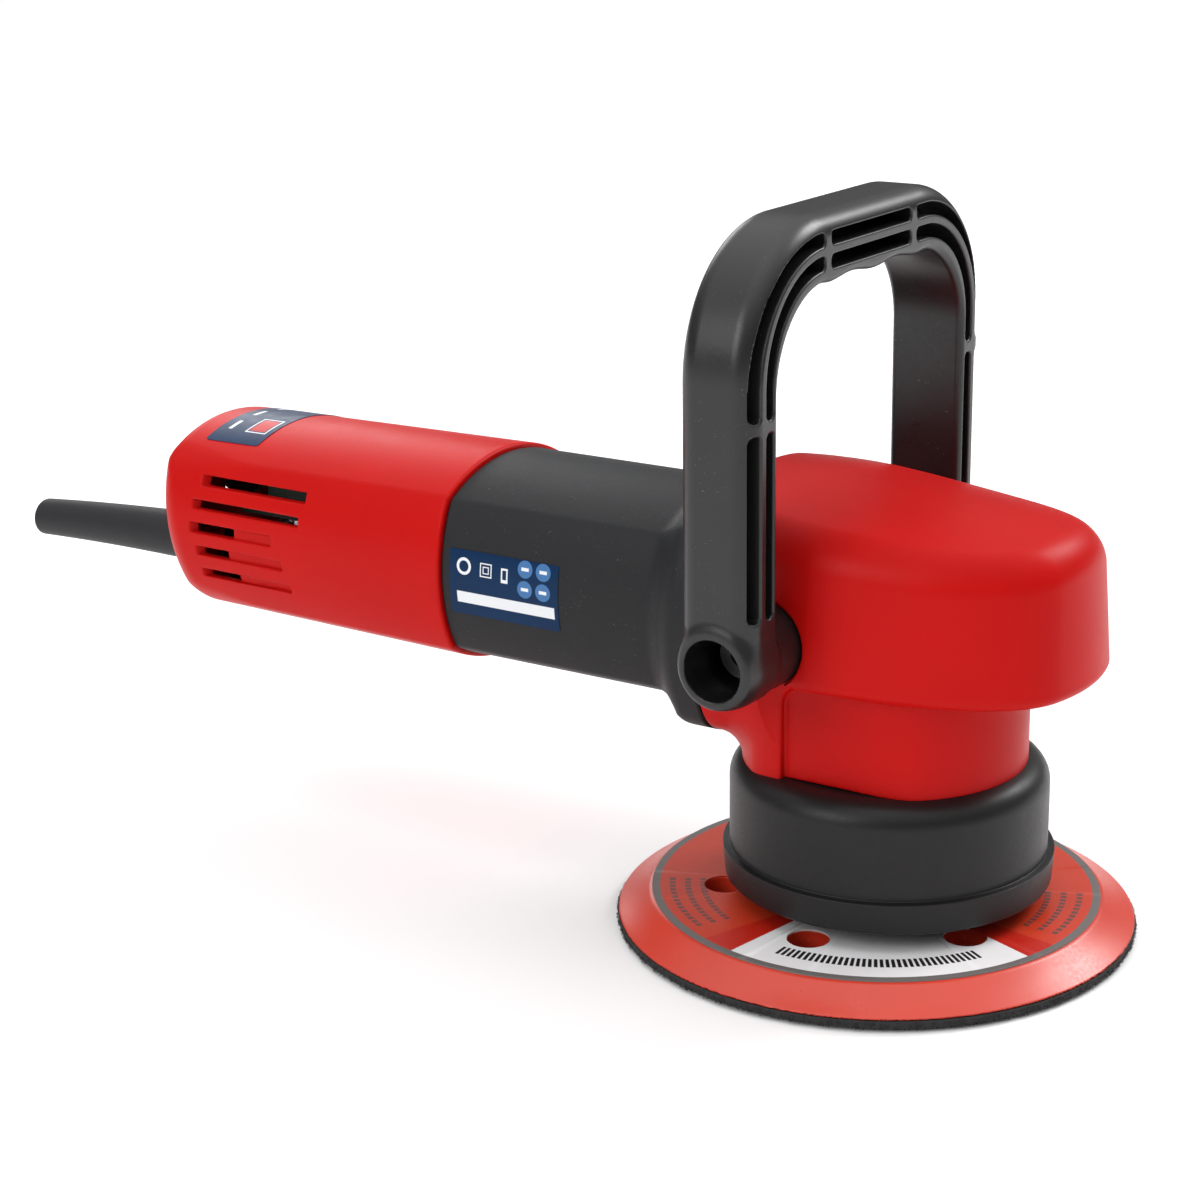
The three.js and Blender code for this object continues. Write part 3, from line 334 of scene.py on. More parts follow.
class Finish:
    """A material's node graph around one Principled shader; coordinates are the model's, in metres."""

    def __init__(self, name):
        self.material = bpy.data.materials.new(name)
        self.material.use_nodes = True
        self.tree = self.material.node_tree
        self.shader = self.tree.nodes["Principled BSDF"]
        self.place = self.add("ShaderNodeTexCoord").outputs["Object"]
        self.x, self.y, self.z = self.add("ShaderNodeSeparateXYZ", Vector=self.place).outputs

    def add(self, kind, settings=None, **inputs):
        node = self.tree.nodes.new(kind)
        for key, value in (settings or {}).items():
            setattr(node, key, value)
        for key, value in inputs.items():
            self.link(value, node.inputs[key.replace("_", " ")])
        return node

    def link(self, value, socket):
        if isinstance(value, bpy.types.NodeSocket):
            self.tree.links.new(value, socket)
        else:
            socket.default_value = value

    def math(self, operation, *values, clamp=False):
        node = self.add("ShaderNodeMath", {"operation": operation, "use_clamp": clamp})
        for value, socket in zip(values, node.inputs):
            self.link(value, socket)
        return node.outputs[0]

    def noise(self, size, detail=2.0, roughness=0.5, stretch=None):
        """Noise from 0 to 1 whose features are about size metres across."""
        vector = self.place
        if stretch is not None:
            vector = self.add("ShaderNodeMapping", Vector=vector, Scale=stretch).outputs[0]
        node = self.add("ShaderNodeTexNoise", Vector=vector, Scale=1 / size, Detail=detail,
                        Roughness=roughness)
        return node.outputs["Fac"]

    def between(self, value, low, high, to_low=0.0, to_high=1.0):
        """Maps value from low..high to to_low..to_high, held at the ends."""
        node = self.add("ShaderNodeMapRange", Value=value)
        for key, number in (("From Min", low), ("From Max", high), ("To Min", to_low), ("To Max", to_high)):
            self.link(number, node.inputs[key])
        return node.outputs[0]

    def mix(self, factor, first, second):
        node = self.add("ShaderNodeMix", {"data_type": "RGBA"})
        self.link(factor, node.inputs["Factor"])
        for value, socket in ((first, node.inputs[6]), (second, node.inputs[7])):
            self.link((*value, 1) if isinstance(value, tuple) else value, socket)
        return node.outputs[2]

    def bump(self, height, depth, strength=1.0, after=None):
        """Adds a bump of that depth in metres; chained after another bump."""
        node = self.add("ShaderNodeBump", Height=height, Distance=depth, Strength=strength)
        if after is not None:
            self.link(after, node.inputs["Normal"])
        return node.outputs[0]

    def finish(self, color, roughness, normal=None, **constants):
        self.link(color, self.shader.inputs["Base Color"])
        self.link(roughness, self.shader.inputs["Roughness"])
        if normal is not None:
            self.link(normal, self.shader.inputs["Normal"])
        for key, value in constants.items():
            self.shader.inputs[key.replace("_", " ")].default_value = value
        return self.material


def tinted(color, amount):
    return tuple(min(1.0, c * amount) for c in color)


def moulded(name, color, roughness, grain=0.0004, depth=0.00002, specks=0.0, **constants):
    """Moulded plastic: fine grain, slow tone changes, a few pale specks and faint rubbed patches."""
    f = Finish(name)
    tone = f.mix(f.noise(0.03, 3), tinted(color, 0.9), tinted(color, 1.08))
    fine = f.noise(grain, 2, 0.6)
    rubbed = f.between(f.noise(0.012, 4, 0.65), 0.55, 0.75)
    if specks:
        speck = f.between(f.noise(0.00055, 1, 0.4), 0.735, 0.77)
        where = f.between(f.noise(0.009, 2), 0.45, 0.65)
        dust = f.math("MULTIPLY", f.math("MULTIPLY", speck, where), specks)
        tone = f.mix(dust, tone, (0.35, 0.35, 0.36))
    rough = f.between(fine, 0.3, 0.7, roughness - 0.05, roughness + 0.05)
    rough = f.math("SUBTRACT", rough, f.math("MULTIPLY", rubbed, 0.05))
    coarse = f.bump(f.noise(0.006, 2), 0.00004, 0.25)
    return f.finish(tone, rough, f.bump(fine, depth, 1.0, after=coarse), **constants)


def metal(name, color, roughness, stretch=(1, 1, 1), grain=0.0005):
    """Machined or cast metal with fine directional grain and a little tarnish."""
    f = Finish(name)
    fine = f.noise(grain, 3, 0.6, stretch)
    stain = f.between(f.noise(0.008, 4, 0.6), 0.4, 0.7)
    tone = f.mix(stain, color, tinted(color, 0.72))
    rough = f.between(fine, 0.3, 0.7, roughness - 0.08, roughness + 0.1)
    return f.finish(tone, rough, f.bump(fine, 0.00001, 0.6), Metallic=1.0)


RED = (0.5, 0.0045, 0.0035)
BLACK = (0.0125, 0.0128, 0.0145)
HANDLE_BLACK = (0.0085, 0.0086, 0.0092)
SHROUD_BLACK = (0.0085, 0.0083, 0.009)
BOOT_BLACK = (0.02, 0.0202, 0.0225)
PAD_ORANGE = (0.6, 0.036, 0.013)

red_plastic = moulded("red_plastic", RED, 0.4, grain=0.00045, depth=0.000014, Specular_IOR_Level=0.1)
black_nylon = moulded("black_nylon", BLACK, 0.52, grain=0.0005, depth=0.00003, specks=0.25,
                      Specular_IOR_Level=0.25)
handle_nylon = moulded("handle_nylon", HANDLE_BLACK, 0.34, grain=0.0005, depth=0.000022, specks=0.3,
                       Specular_IOR_Level=0.5)
shroud_rubber = moulded("shroud_rubber", SHROUD_BLACK, 0.42, grain=0.0006, depth=0.00003,
                        Specular_IOR_Level=0.3)
boot_rubber = moulded("boot_rubber", BOOT_BLACK, 0.58, grain=0.0006, depth=0.00002,
                      Specular_IOR_Level=0.25)
urethane = moulded("urethane", PAD_ORANGE, 0.34, grain=0.0009, depth=0.00001, Specular_IOR_Level=0.6)

# ---- shapes: housings ----


def barrel(y, z, grow, crease=CREASE, taller=0.0):
    side = np.hypot(np.abs(y) + SIDE_CENTRE, z - BARREL_Z) - SIDE_R - grow
    top = np.hypot(y, np.abs(z - BARREL_Z) + TOP_CENTRE) - TOP_R - grow - taller
    return rounded_cut(side, top, crease)


def rear_grow(x):
    """The rear housing narrows evenly from the seam to its end."""
    return REAR_GROW - REAR_TAPER * (SEAM_X - x)


VENT_TOP_Z = 108.5
VENT_PITCH = 7.5
# Each vent is (rear end, front end, height, front end of its shallow recess or None).
VENTS = [
    (-228, -185, 3.4, None),
    (-231, -187, 3.0, None),
    (-232, -214, 3.4, -198),
    (-230, -217, 3.0, -194),
    (-229, -214, 2.8, -192),
]
RECESS_DEPTH = 1.1
REAR_EDGE_R = 11.0
REAR_EDGE_TAPER = 0.12  # the end's edge is tighter at the top
REAR_LEAN = 0.05  # the end leans back at the top
BOOT_Z = 77.0
SWITCH_LOW, SWITCH_HIGH = -174.4, -149.6
SWITCH_HALF_HEIGHT = 6.4
SWITCH_SLOT_Y = 26  # the switch's slot goes in to here
VENT_INNER_Y = 22
CORD_HOLE_R = 8.3
DIAL_SLOT = (4.0, 10.6)  # half its width and half its height
CREASE_FADE = 3.0  # the creases soften by this much towards the rear end


def rear_housing(x, y, z):
    fading = CREASE + CREASE_FADE * smooth_step(-x, 208.0, 243.0)
    grow = rear_grow(x)
    outer = barrel(y, z, grow, fading)
    end = REAR_X - REAR_LEAN * (z - BARREL_Z) - x
    outer = rounded_cut(outer, end, REAR_EDGE_R - REAR_EDGE_TAPER * (z - BARREL_Z))
    skin = rounded_cut(outer, x - SEAM_X, 1.0)
    room = rounded_cut(barrel(y, z, grow - WALL), REAR_X + WALL + 0.5 - x, 8.0)
    body = rounded_cut(skin, -room, 0.5)
    depth = np.clip(-outer, 0, WALL)
    for row, (rear, front, height, recess) in enumerate(VENTS):
        across = np.abs(z - VENT_TOP_Z + row * VENT_PITCH) - height / 2
        ends = np.maximum(rear + 0.6 * depth - x, x - front)
        hole = np.maximum(rounded_cut(across, ends, 0.3), VENT_INNER_Y - np.abs(y))
        body = carve(body, hole, 0.4)
        if recess is not None:
            ends = np.maximum(front - 2 - x, x - recess)
            shallow = np.maximum(rounded_cut(across, ends, 0.3), -outer - RECESS_DEPTH)
            body = carve(body, shallow, 0.3)
    cord_hole = np.maximum(np.hypot(y, z - BOOT_Z) - CORD_HOLE_R, x - REAR_X - 14)
    dial_slot = np.maximum(rectangle(y, z - DIAL_Z, *DIAL_SLOT, 1.0), x - REAR_X - 8)
    switch_x = x - (SWITCH_LOW + SWITCH_HIGH) / 2
    half_length = (SWITCH_HIGH - SWITCH_LOW) / 2
    switch_slot = rectangle(switch_x, z - MOTOR_Z, half_length, SWITCH_HALF_HEIGHT, 1.2)
    switch_slot = np.maximum(switch_slot, SWITCH_SLOT_Y - y)
    for hole in (cord_hole, dial_slot, switch_slot):
        body = carve(body, hole, 0.6)
    return body


FLANGE_GROW = 3.5
FLANGE_TALLER = 1.5
FLANGE_DROP = 1.9  # the flange's section sits lower than the barrel's
FLARE_LENGTH = 12.5
FLARE_JOIN_R = 7.0
STATOR_BORE_R = 29.3


def motor_housing(x, y, z):
    tube = barrel(y, z, MOTOR_GROW)
    flange = barrel(y, z + FLANGE_DROP, FLANGE_GROW, 1.5, FLANGE_TALLER)
    lean = (z - 54) / 74  # the flare starts further back at the bottom
    start = FLANGE_X - FLARE_LENGTH + 3.0 * lean
    flange = rounded_cut(flange, (start - x) * 0.995, 5.0)
    outer = rounded_join(tube, flange, FLARE_JOIN_R)
    outer = rounded_cut(outer, x - FLANGE_X + GAP, 0.8)
    outer = rounded_cut(outer, SEAM_X + GAP - x, 0.6)
    bore = np.hypot(y, z - MOTOR_Z) - STATOR_BORE_R
    return rounded_cut(outer, -bore, 0.5)


def shroud_outside(x, y, z):
    """Distance to the shroud's outer surface, a drum with a rounded shoulder."""
    return rounded_cut(np.hypot(x, y) - SHROUD_R, z - SHROUD_TOP_Z, SHROUD_SHOULDER_R)


HEAD_LOWER_Z = 81.0
HEAD_TOP_Z = 131.5
HEAD_SLOPE_X = -20.0  # the domed top falls in front of here
HEAD_SLOPE = 0.11
HEAD_DRAFT = 0.075  # its sides lean in by this much per millimetre of height
HEAD_HALF_Y = 42.6  # half width where it is widest, at the pad's axis and the height HEAD_WIDE_Z
HEAD_WIDE_Z = 97
HEAD_NOSE_R = 58.1
HEAD_NOSE_DRAFT = 0.065
HEAD_CORNER_R = 19.0  # rounding between the sides and the nose, in plan
HEAD_EDGE_R = 9.0  # rounding between the sides and the dome
DOME_WIDTH = 248  # the dome falls by y squared over this
SEAT_R = FOOT_R + 0.45
BOSS_R = 15  # solid round bosses inside the cover carry the handle's feet
BOSS_INNER_Y = 36.5
BOLT_HOLE_R = 4.6
NECK_FRONT_R, NECK_REAR_R = 39.3, 42.0
NECK_FRONT_Y, NECK_REAR_Y = 35.0, 36.6
NECK_STEP_X = -15.0  # the neck is wider behind here
NECK_BOTTOM_Z = 42


def head_body(x, y, z, inset=0.0):
    """The domed block; in plan it narrows slowly to the rear and faster towards the nose."""
    half = HEAD_HALF_Y - 0.0022 * np.clip(-4 - x, 0, None) ** 2
    half = half - 0.105 * np.clip(x + 4, 0, 14) - 0.15 * np.clip(x - 10, 0, None)
    side = (np.abs(y) - half + HEAD_DRAFT * (z - HEAD_WIDE_Z)) * 0.997
    nose = np.hypot(x - 2, y) - HEAD_NOSE_R + HEAD_NOSE_DRAFT * (z - HEAD_WIDE_Z)
    plan = rounded_cut(side, nose, HEAD_CORNER_R)
    ahead = x - HEAD_SLOPE_X
    falling = (ahead + np.sqrt(ahead**2 + 64.0)) / 2
    crown = HEAD_TOP_Z - HEAD_SLOPE * falling - y**2 / DOME_WIDTH
    body = rounded_cut(plan, (z - crown) * 0.96, HEAD_EDGE_R)
    return rounded_cut(body, HEAD_LOWER_Z - z, 3.5) + inset


def neck_body(x, y, z):
    """The round neck with flat sides; its front part is stepped in below the head."""
    front = rounded_cut(np.abs(y) - NECK_FRONT_Y, np.hypot(x, y) - NECK_FRONT_R, 5.0)
    rear = rounded_cut(np.abs(y) - NECK_REAR_Y, np.hypot(x, y) - NECK_REAR_R, 4.0)
    panel = rounded_cut(NECK_STEP_X - x, z - HEAD_LOWER_Z + 1.5, 6.0)
    return carve(rear, rounded_cut(panel, -front, 0.8), 1.2)


def head_cover(x, y, z):
    collar = barrel(y, z + FLANGE_DROP, FLANGE_GROW - 0.2, 2.0, FLANGE_TALLER)
    collar = np.maximum(np.maximum(collar, x + 22), z - HEAD_LOWER_Z - 30)
    neck = np.maximum(neck_body(x, y, z), z - HEAD_LOWER_Z - 10)
    outer = rounded_join(head_body(x, y, z), neck, 1.5)
    outer = rounded_join(outer, collar, 6.0)
    outer = np.maximum(outer, z - HEAD_TOP_Z - 1.0)
    boss_axis = np.hypot(x - HANDLE_X, z - MOTOR_Z)
    outer = rounded_cut(outer, FLANGE_X - x, 0.5)
    drape = shroud_outside(x, y, z) - GAP
    outer = rounded_cut(outer, -drape, 0.6)
    outer = np.maximum(outer, NECK_BOTTOM_Z - z)
    neck_room = np.maximum(neck_body(x, y, 70.0) + WALL, z - HEAD_LOWER_Z - 10)
    room = np.minimum(head_body(x, y, z, WALL), neck_room)
    motor_room = np.maximum(barrel(y, z, MOTOR_GROW - 1.5), x + 30)
    room = rounded_join(room, motor_room, 2.0)
    boss = np.maximum(boss_axis - BOSS_R, BOSS_INNER_Y - np.abs(y))
    room = np.maximum(room, -boss)
    shell = np.maximum(outer, -room)
    seat = np.maximum(boss_axis - SEAT_R, FOOT_SEAT_Y - GAP - np.abs(y))
    shell = carve(shell, seat, 0.5)
    return np.maximum(shell, BOLT_HOLE_R - boss_axis)


# ---- shapes: handle ----

LEG_OUT_Y = HANDLE_OUT_Y
LEG_IN_Y = 53.2
BAR_TOP_Z = HANDLE_TOP_Z
BAR_UNDER_Z = 190.5
SLOT_DEPTH = 13.0
HANDLE_CORNER_R = 40.0
OPENING_CORNER_R = 26.0
GRIP_WAVE = 0.55  # height of the finger waves under the bar
GRIP_PITCH = 25.0
LEG_RIB_Z = 158.0
BAR_RIB_Y = 24.4  # how far the bar's two ribs stand from their middle
BAR_RIB_SHIFT = -3.1  # where that middle is
COUNTERBORE_R = 8.6
COUNTERBORE_END_Y = 47
HANDLE_EDGE_R = 6.5
OPENING_EDGE_R = 2.2
SLOT_FOOT_Z = 106.0
# Each row of slots: distance from the middle, height of its bar, corner radius, half width.
SLOT_ROWS = [(63.9, 202.0, 35.0, 1.8), (57.6, 195.8, 28.5, 1.9)]


def handle(x, y, z):
    depth = np.abs(x - HANDLE_X) - HANDLE_HALF_DEPTH
    axis = np.hypot(x - HANDLE_X, z - MOTOR_Z)
    sides = np.where(z > MOTOR_Z, depth, axis - HANDLE_HALF_DEPTH)
    outline = arch(y, z, LEG_OUT_Y, BAR_TOP_Z, HANDLE_CORNER_R)
    waves = GRIP_WAVE * np.cos(2 * math.pi * y / GRIP_PITCH) * smooth_step(-np.abs(y), -34, -24)
    opening = arch(y, z + waves, LEG_IN_Y, BAR_UNDER_Z, OPENING_CORNER_R)
    body = rounded_cut(rounded_cut(sides, outline, HANDLE_EDGE_R), -opening, OPENING_EDGE_R)
    reach = np.abs(y)
    cone = axis - (FOOT_R - 0.04 * (reach - FOOT_SEAT_Y))
    foot_ends = np.abs(reach - (LEG_OUT_Y + FOOT_SEAT_Y) / 2) - (LEG_OUT_Y - FOOT_SEAT_Y) / 2
    foot = rounded_cut(cone, foot_ends, 1.2)
    body = rounded_join(body, foot, 3.0)
    lip = rounded_cut(axis - 10.2, np.abs(reach - LEG_OUT_Y + 3) - 3.3, 0.6)
    body = rounded_join(body, lip, 0.4)
    front = HANDLE_X + HANDLE_HALF_DEPTH
    ribs = np.maximum(1.7 - np.abs(z - LEG_RIB_Z), 1.6 - np.abs(np.abs(y - BAR_RIB_SHIFT) - BAR_RIB_Y))
    ribs = np.maximum(ribs, SLOT_FOOT_Z - z)
    for half_y, bar_z, corner, half in SLOT_ROWS:
        row = np.abs(arch(y, z, half_y, bar_z, corner)) - half
        slot = np.maximum(rounded_cut(row, ribs, half * 0.9), front - SLOT_DEPTH - x)
        body = carve(body, slot, 0.55)
    counterbore = np.maximum(axis - COUNTERBORE_R, COUNTERBORE_END_Y - reach)
    body = carve(body, counterbore, 0.6)
    return np.maximum(body, 4.4 - axis)


# ---- shapes: pad ----

PAD_HOLE_R = 5.8
PAD_HOLE_CIRCLE_R = 43.5
PAD_HOLES = 6
FIRST_HOLE = math.radians(-87)
LABEL_R = 64.8
BEVEL_TOP_R = 65.2
RIM_Z = 3.2  # top of the pad's upright rim


def pad_holes(x, y):
    radius = np.hypot(x - PAD_X, y)
    angle = np.arctan2(y, x - PAD_X) - FIRST_HOLE
    pitch = 2 * math.pi / PAD_HOLES
    folded = angle - pitch * np.round(angle / pitch)
    return np.hypot(radius * np.cos(folded) - PAD_HOLE_CIRCLE_R, radius * np.sin(folded)) - PAD_HOLE_R


def backing_pad(x, y, z):
    radius = np.hypot(x - PAD_X, y)
    rise = (PAD_TOP_Z - RIM_Z) / (PAD_R - BEVEL_TOP_R)
    dish = 0.35 * np.sin(math.pi * np.clip((radius - BEVEL_TOP_R) / (PAD_R - BEVEL_TOP_R), 0, 1))
    bevel = (z - PAD_TOP_Z + rise * (radius - BEVEL_TOP_R) + dish) / math.hypot(1, rise)
    body = rounded_cut(bevel, z - PAD_TOP_Z, 0.5)
    body = rounded_cut(body, radius - PAD_R, 0.7)
    body = rounded_cut(body, PAD_BOTTOM_Z - z, 0.5)
    body = np.maximum(body, 4.4 - radius)
    return carve(body, pad_holes(x, y), 0.35)


# ---- build the pieces ----

FINE = 1.0  # coarser grids while trying things out


def field_piece(name, field, low, high, step, faces, material, body, slot):
    mesh = field_mesh(name, field, low, high, step * FINE, int(faces / FINE**2))
    return piece(name + "_surface", mesh, material, body, slot, name)


HANDLE_LOW = (HANDLE_X - 13, -LEG_OUT_Y - 1, MOTOR_Z - 13)
HANDLE_HIGH = (HANDLE_X + 13, LEG_OUT_Y + 1, BAR_TOP_Z)
field_piece("rear_housing", rear_housing, (REAR_X - 3, -37, 58), (SEAM_X, 37, 127), 0.5, 130000,
            red_plastic, "housing", "housing_red")
field_piece("motor_housing", motor_housing, (SEAM_X, -42, 50), (FLANGE_X, 42, 130), 0.7, 60000,
            black_nylon, "housing", "housing_black")
field_piece("head_cover", head_cover, (FLANGE_X, -46, 42), (63, 46, 133), 0.6, 120000,
            red_plastic, "housing", "housing_red")
field_piece("handle", handle, HANDLE_LOW, HANDLE_HIGH, 0.5, 150000,
            handle_nylon, "housing", "handle_black")
field_piece("backing_pad", backing_pad, (PAD_X - PAD_R, -PAD_R, PAD_BOTTOM_Z),
            (PAD_X + PAD_R, PAD_R, PAD_TOP_Z), 0.5, 90000, urethane, "pad", "pad_foam")

SHROUD_WALL = 2.5
shroud_corners = [
    (SHROUD_R - SHROUD_WALL + 0.4, SHROUD_BOTTOM_Z, 0.3),
    (SHROUD_R + 1.3, SHROUD_BOTTOM_Z, 0.9),
    (SHROUD_R + 2.0, 24.6, 0.25),
    (SHROUD_R, 24.9, 0.3),
    (SHROUD_R, SHROUD_TOP_Z, SHROUD_SHOULDER_R),
    (31.0, SHROUD_TOP_Z, 0.3),
    (31.0, SHROUD_TOP_Z - SHROUD_WALL, 0.3),
    (SHROUD_R - SHROUD_WALL, SHROUD_TOP_Z - SHROUD_WALL, SHROUD_SHOULDER_R - SHROUD_WALL),
    (SHROUD_R - SHROUD_WALL, 26.0, 0.2),
]
shroud_mesh = lathe_mesh("shroud_surface", shroud_corners, 192, 10)
piece("shroud_surface", shroud_mesh, shroud_rubber, "housing", "shroud_black", "shroud")

# ---- boot, labels and hook face ----

BOOT_START_X = REAR_X + 6.0
BOOT_DROP = 0.0004  # the boot sags along a parabola


def boot_place(points, normals):
    along = points[:, 2]
    past = np.maximum(REAR_X - (BOOT_START_X - along), 0)
    height = BOOT_Z + points[:, 1] - BOOT_DROP * past**2
    placed = np.stack([BOOT_START_X - along, -points[:, 0], height], 1)
    return placed, np.stack([-normals[:, 2], -normals[:, 0], normals[:, 1]], 1)


def boot():
    length = BOOT_START_X - BOOT_TIP_X
    corners = [(4.3, 0, 0.3), (7.9, 0, 0.5), (7.85, 30, 60), (6.3, length, 2.6), (4.3, length, 0.8),
               (4.3, 60, 0.3)]
    stations = refined(corners, 4.0)
    mesh = lathe_mesh("boot_surface", stations, 96, 8, boot_place)
    piece("boot_surface", mesh, boot_rubber, "housing", "rubber", "strain_relief")


boot()


def rounded_grid(half_u, half_v, corner, spacing):
    """Points of a grid on a rectangle whose corners are rounded, as two arrays."""

    def ticks(half):
        inner = np.linspace(corner - half, half - corner, max(2, round(2 * half / spacing)))
        edge = np.linspace(0, corner, 5)[1:]
        return np.concatenate([-half + corner - edge[::-1], inner, half - corner + edge])

    u, v = np.meshgrid(ticks(half_u), ticks(half_v), indexing="ij")
    past_u, past_v = np.abs(u) - half_u + corner, np.abs(v) - half_v + corner
    both = (past_u > 0) & (past_v > 0)
    shrink = np.where(both, np.maximum(past_u, past_v) / np.maximum(np.hypot(past_u, past_v), 1e-9), 1)
    new_u = np.where(both, np.sign(u) * (half_u - corner + past_u * shrink), u)
    new_v = np.where(both, np.sign(v) * (half_v - corner + past_v * shrink), v)
    return new_u, new_v


def plate_mesh(name, front, back):
    """A closed plate between two grids of points, each of shape (n, m, 3)."""
    n, m = front.shape[:2]
    number = np.arange(n * m).reshape(n, m)
    face = np.stack([number[:-1, :-1], number[1:, :-1], number[1:, 1:], number[:-1, 1:]], -1)
    face = face.reshape(-1, 4)
    rim = np.concatenate([number[:, 0], number[-1, 1:], number[-2::-1, -1], number[0, -2:0:-1]])
    ahead = np.roll(rim, -1)
    skirt = np.stack([rim, rim + n * m, ahead + n * m, ahead], 1)
    mesh = mesh_of(name, np.concatenate([front.reshape(-1, 3), back.reshape(-1, 3)]),
                   np.concatenate([face, face[:, ::-1] + n * m, skirt]))
    mesh.set_sharp_from_angle(angle=math.radians(40))
    return mesh


LABEL_PROUD = 0.18
LABEL_SUNK = 0.3


def barrel_label(name, radius, centre_y, centre_z, middle, x_middle, half_length, half_arc, corner,
                 material):
    """A thin label wrapped on arcs about an X axis; radius is a function of x, and middle is the angle
    from +Y at the label's middle."""
    along, around = rounded_grid(half_length, half_arc, corner, 1.0)
    sides = []
    for out in (LABEL_PROUD, -LABEL_SUNK):
        bend = radius(x_middle + along)
        angle = middle + around / bend
        y = centre_y + (bend + out) * np.cos(angle)
        z = centre_z + (bend + out) * np.sin(angle)
        sides.append(np.stack([x_middle + along, y, z], -1))
    piece(name + "_print", plate_mesh(name + "_print", *sides), material, "housing", "label_blue", name)


def disc_mask(f, u, v, centre_u, centre_v, radius, soft=0.00006):
    du, dv = f.math("SUBTRACT", u, centre_u), f.math("SUBTRACT", v, centre_v)
    away = f.math("SQRT", f.math("ADD", f.math("MULTIPLY", du, du), f.math("MULTIPLY", dv, dv)))
    return f.between(away, radius - soft, radius + soft, 1, 0)


def box_mask(f, u, v, centre_u, centre_v, half_u, half_v, soft=0.00006):
    du = f.math("SUBTRACT", f.math("ABSOLUTE", f.math("SUBTRACT", u, centre_u)), half_u)
    dv = f.math("SUBTRACT", f.math("ABSOLUTE", f.math("SUBTRACT", v, centre_v)), half_v)
    return f.between(f.math("MAXIMUM", du, dv), -soft, soft, 1, 0)


def without(f, mask, hole):
    return f.math("SUBTRACT", mask, hole, clamp=True)


def outlined(f, u, v, centre_u, centre_v, half_u, half_v, line):
    """A frame whose sides are as wide as line."""
    return without(f, box_mask(f, u, v, centre_u, centre_v, half_u, half_v),
                   box_mask(f, u, v, centre_u, centre_v, half_u - line, half_v - line))


def joined(f, masks):
    total = masks[0]
    for mask in masks[1:]:
        total = f.math("MAXIMUM", total, mask)
    return total


def on_blue(f, *prints):
    """The finish of a dark blue label with pairs of a mask and its colour printed on it."""
    tone = f.mix(f.noise(0.01, 2), tinted(LABEL_BLUE, 0.85), tinted(LABEL_BLUE, 1.15))
    for mask, color in prints:
        tone = f.mix(mask, tone, color)
    rough = f.between(f.noise(0.003, 3), 0.3, 0.7, 0.3, 0.4)
    return f.finish(tone, rough, f.bump(f.noise(0.002, 2), 0.00001, 0.5), Specular_IOR_Level=0.15)


LABEL_BLUE = (0.0006, 0.022, 0.075)
PRINT_WHITE = (0.78, 0.8, 0.83)
PRINT_RED = (0.5, 0.02, 0.02)
DISC_BLUE = (0.06, 0.17, 0.38)
SPEC_LABEL_X, SPEC_LABEL_Z = -109.0, 94.0
TOP_LABEL_X = -224.3


def spec_label_material():
    """Generic marks: a ring, a square in a square, an upright box, four discs and a blank strip."""
    f = Finish("spec_label_print")
    u = f.math("SUBTRACT", f.x, SPEC_LABEL_X * MM)
    v = f.math("SUBTRACT", f.z, SPEC_LABEL_Z * MM)
    strip = box_mask(f, u, v, 0.0006, -0.00655, 0.0175, 0.00175)
    ring = without(f, disc_mask(f, u, v, -0.0142, 0.0030, 0.0026),
                   disc_mask(f, u, v, -0.0142, 0.0030, 0.0017))
    square = outlined(f, u, v, -0.0062, 0.0028, 0.0021, 0.0021, 0.00035)
    core = outlined(f, u, v, -0.0062, 0.0028, 0.0011, 0.0011, 0.0003)
    column = without(f, box_mask(f, u, v, 0.0005, 0.0022, 0.0012, 0.0022),
                     box_mask(f, u, v, 0.0005, 0.0024, 0.0007, 0.0014))
    spots = [(spot_u, spot_v) for spot_u in (0.0078, 0.0142) for spot_v in (0.0052, -0.0008)]
    discs = joined(f, [disc_mask(f, u, v, *spot, 0.0026) for spot in spots])
    glyphs = [box_mask(f, u, v, *spot, 0.0013, 0.0005) for spot in spots]
    marks = joined(f, [strip, ring, square, core, column, *glyphs])
    return on_blue(f, (discs, DISC_BLUE), (marks, PRINT_WHITE))


def top_label_material():
    """Generic marks: a red block in a pale outline and a row of short bars."""
    f = Finish("top_label_print")
    u = f.math("SUBTRACT", f.x, TOP_LABEL_X * MM)
    v = f.y
    block = outlined(f, u, v, 0.0045, -0.0105, 0.0042, 0.0052, 0.0005)
    red = box_mask(f, u, v, 0.0045, -0.0105, 0.0031, 0.0041)
    bars = [box_mask(f, u, v, -0.0065, 0.012 * row, 0.0007, 0.003) for row in (-1, 0, 1)]
    return on_blue(f, (joined(f, [block, *bars]), PRINT_WHITE), (red, PRINT_RED))


barrel_label("spec_label", lambda x: SIDE_R + MOTOR_GROW + 0 * x, SIDE_CENTRE, BARREL_Z, math.pi,
             SPEC_LABEL_X, 19.5, 10.0, 0.9, spec_label_material())
barrel_label("top_label", lambda x: TOP_R + rear_grow(x), 0.0, BARREL_Z - TOP_CENTRE, math.pi / 2,
             TOP_LABEL_X, 10.9, 22.6, 1.2, top_label_material())

LABEL_TOP_Z = 9.75
LABEL_HOLE_R = 14.0
ORANGE = (0.6, 0.042, 0.012)
DEEP_ORANGE = (0.52, 0.016, 0.006)
PRINT_BLACK = (0.015, 0.015, 0.016)
PRINT_BROWN = (0.16, 0.05, 0.045)
RIM_GREY = (0.15, 0.14, 0.135)
WHITE_MIDDLE, WHITE_HALF = -60.8, 40.3  # the white sector, in degrees from +X


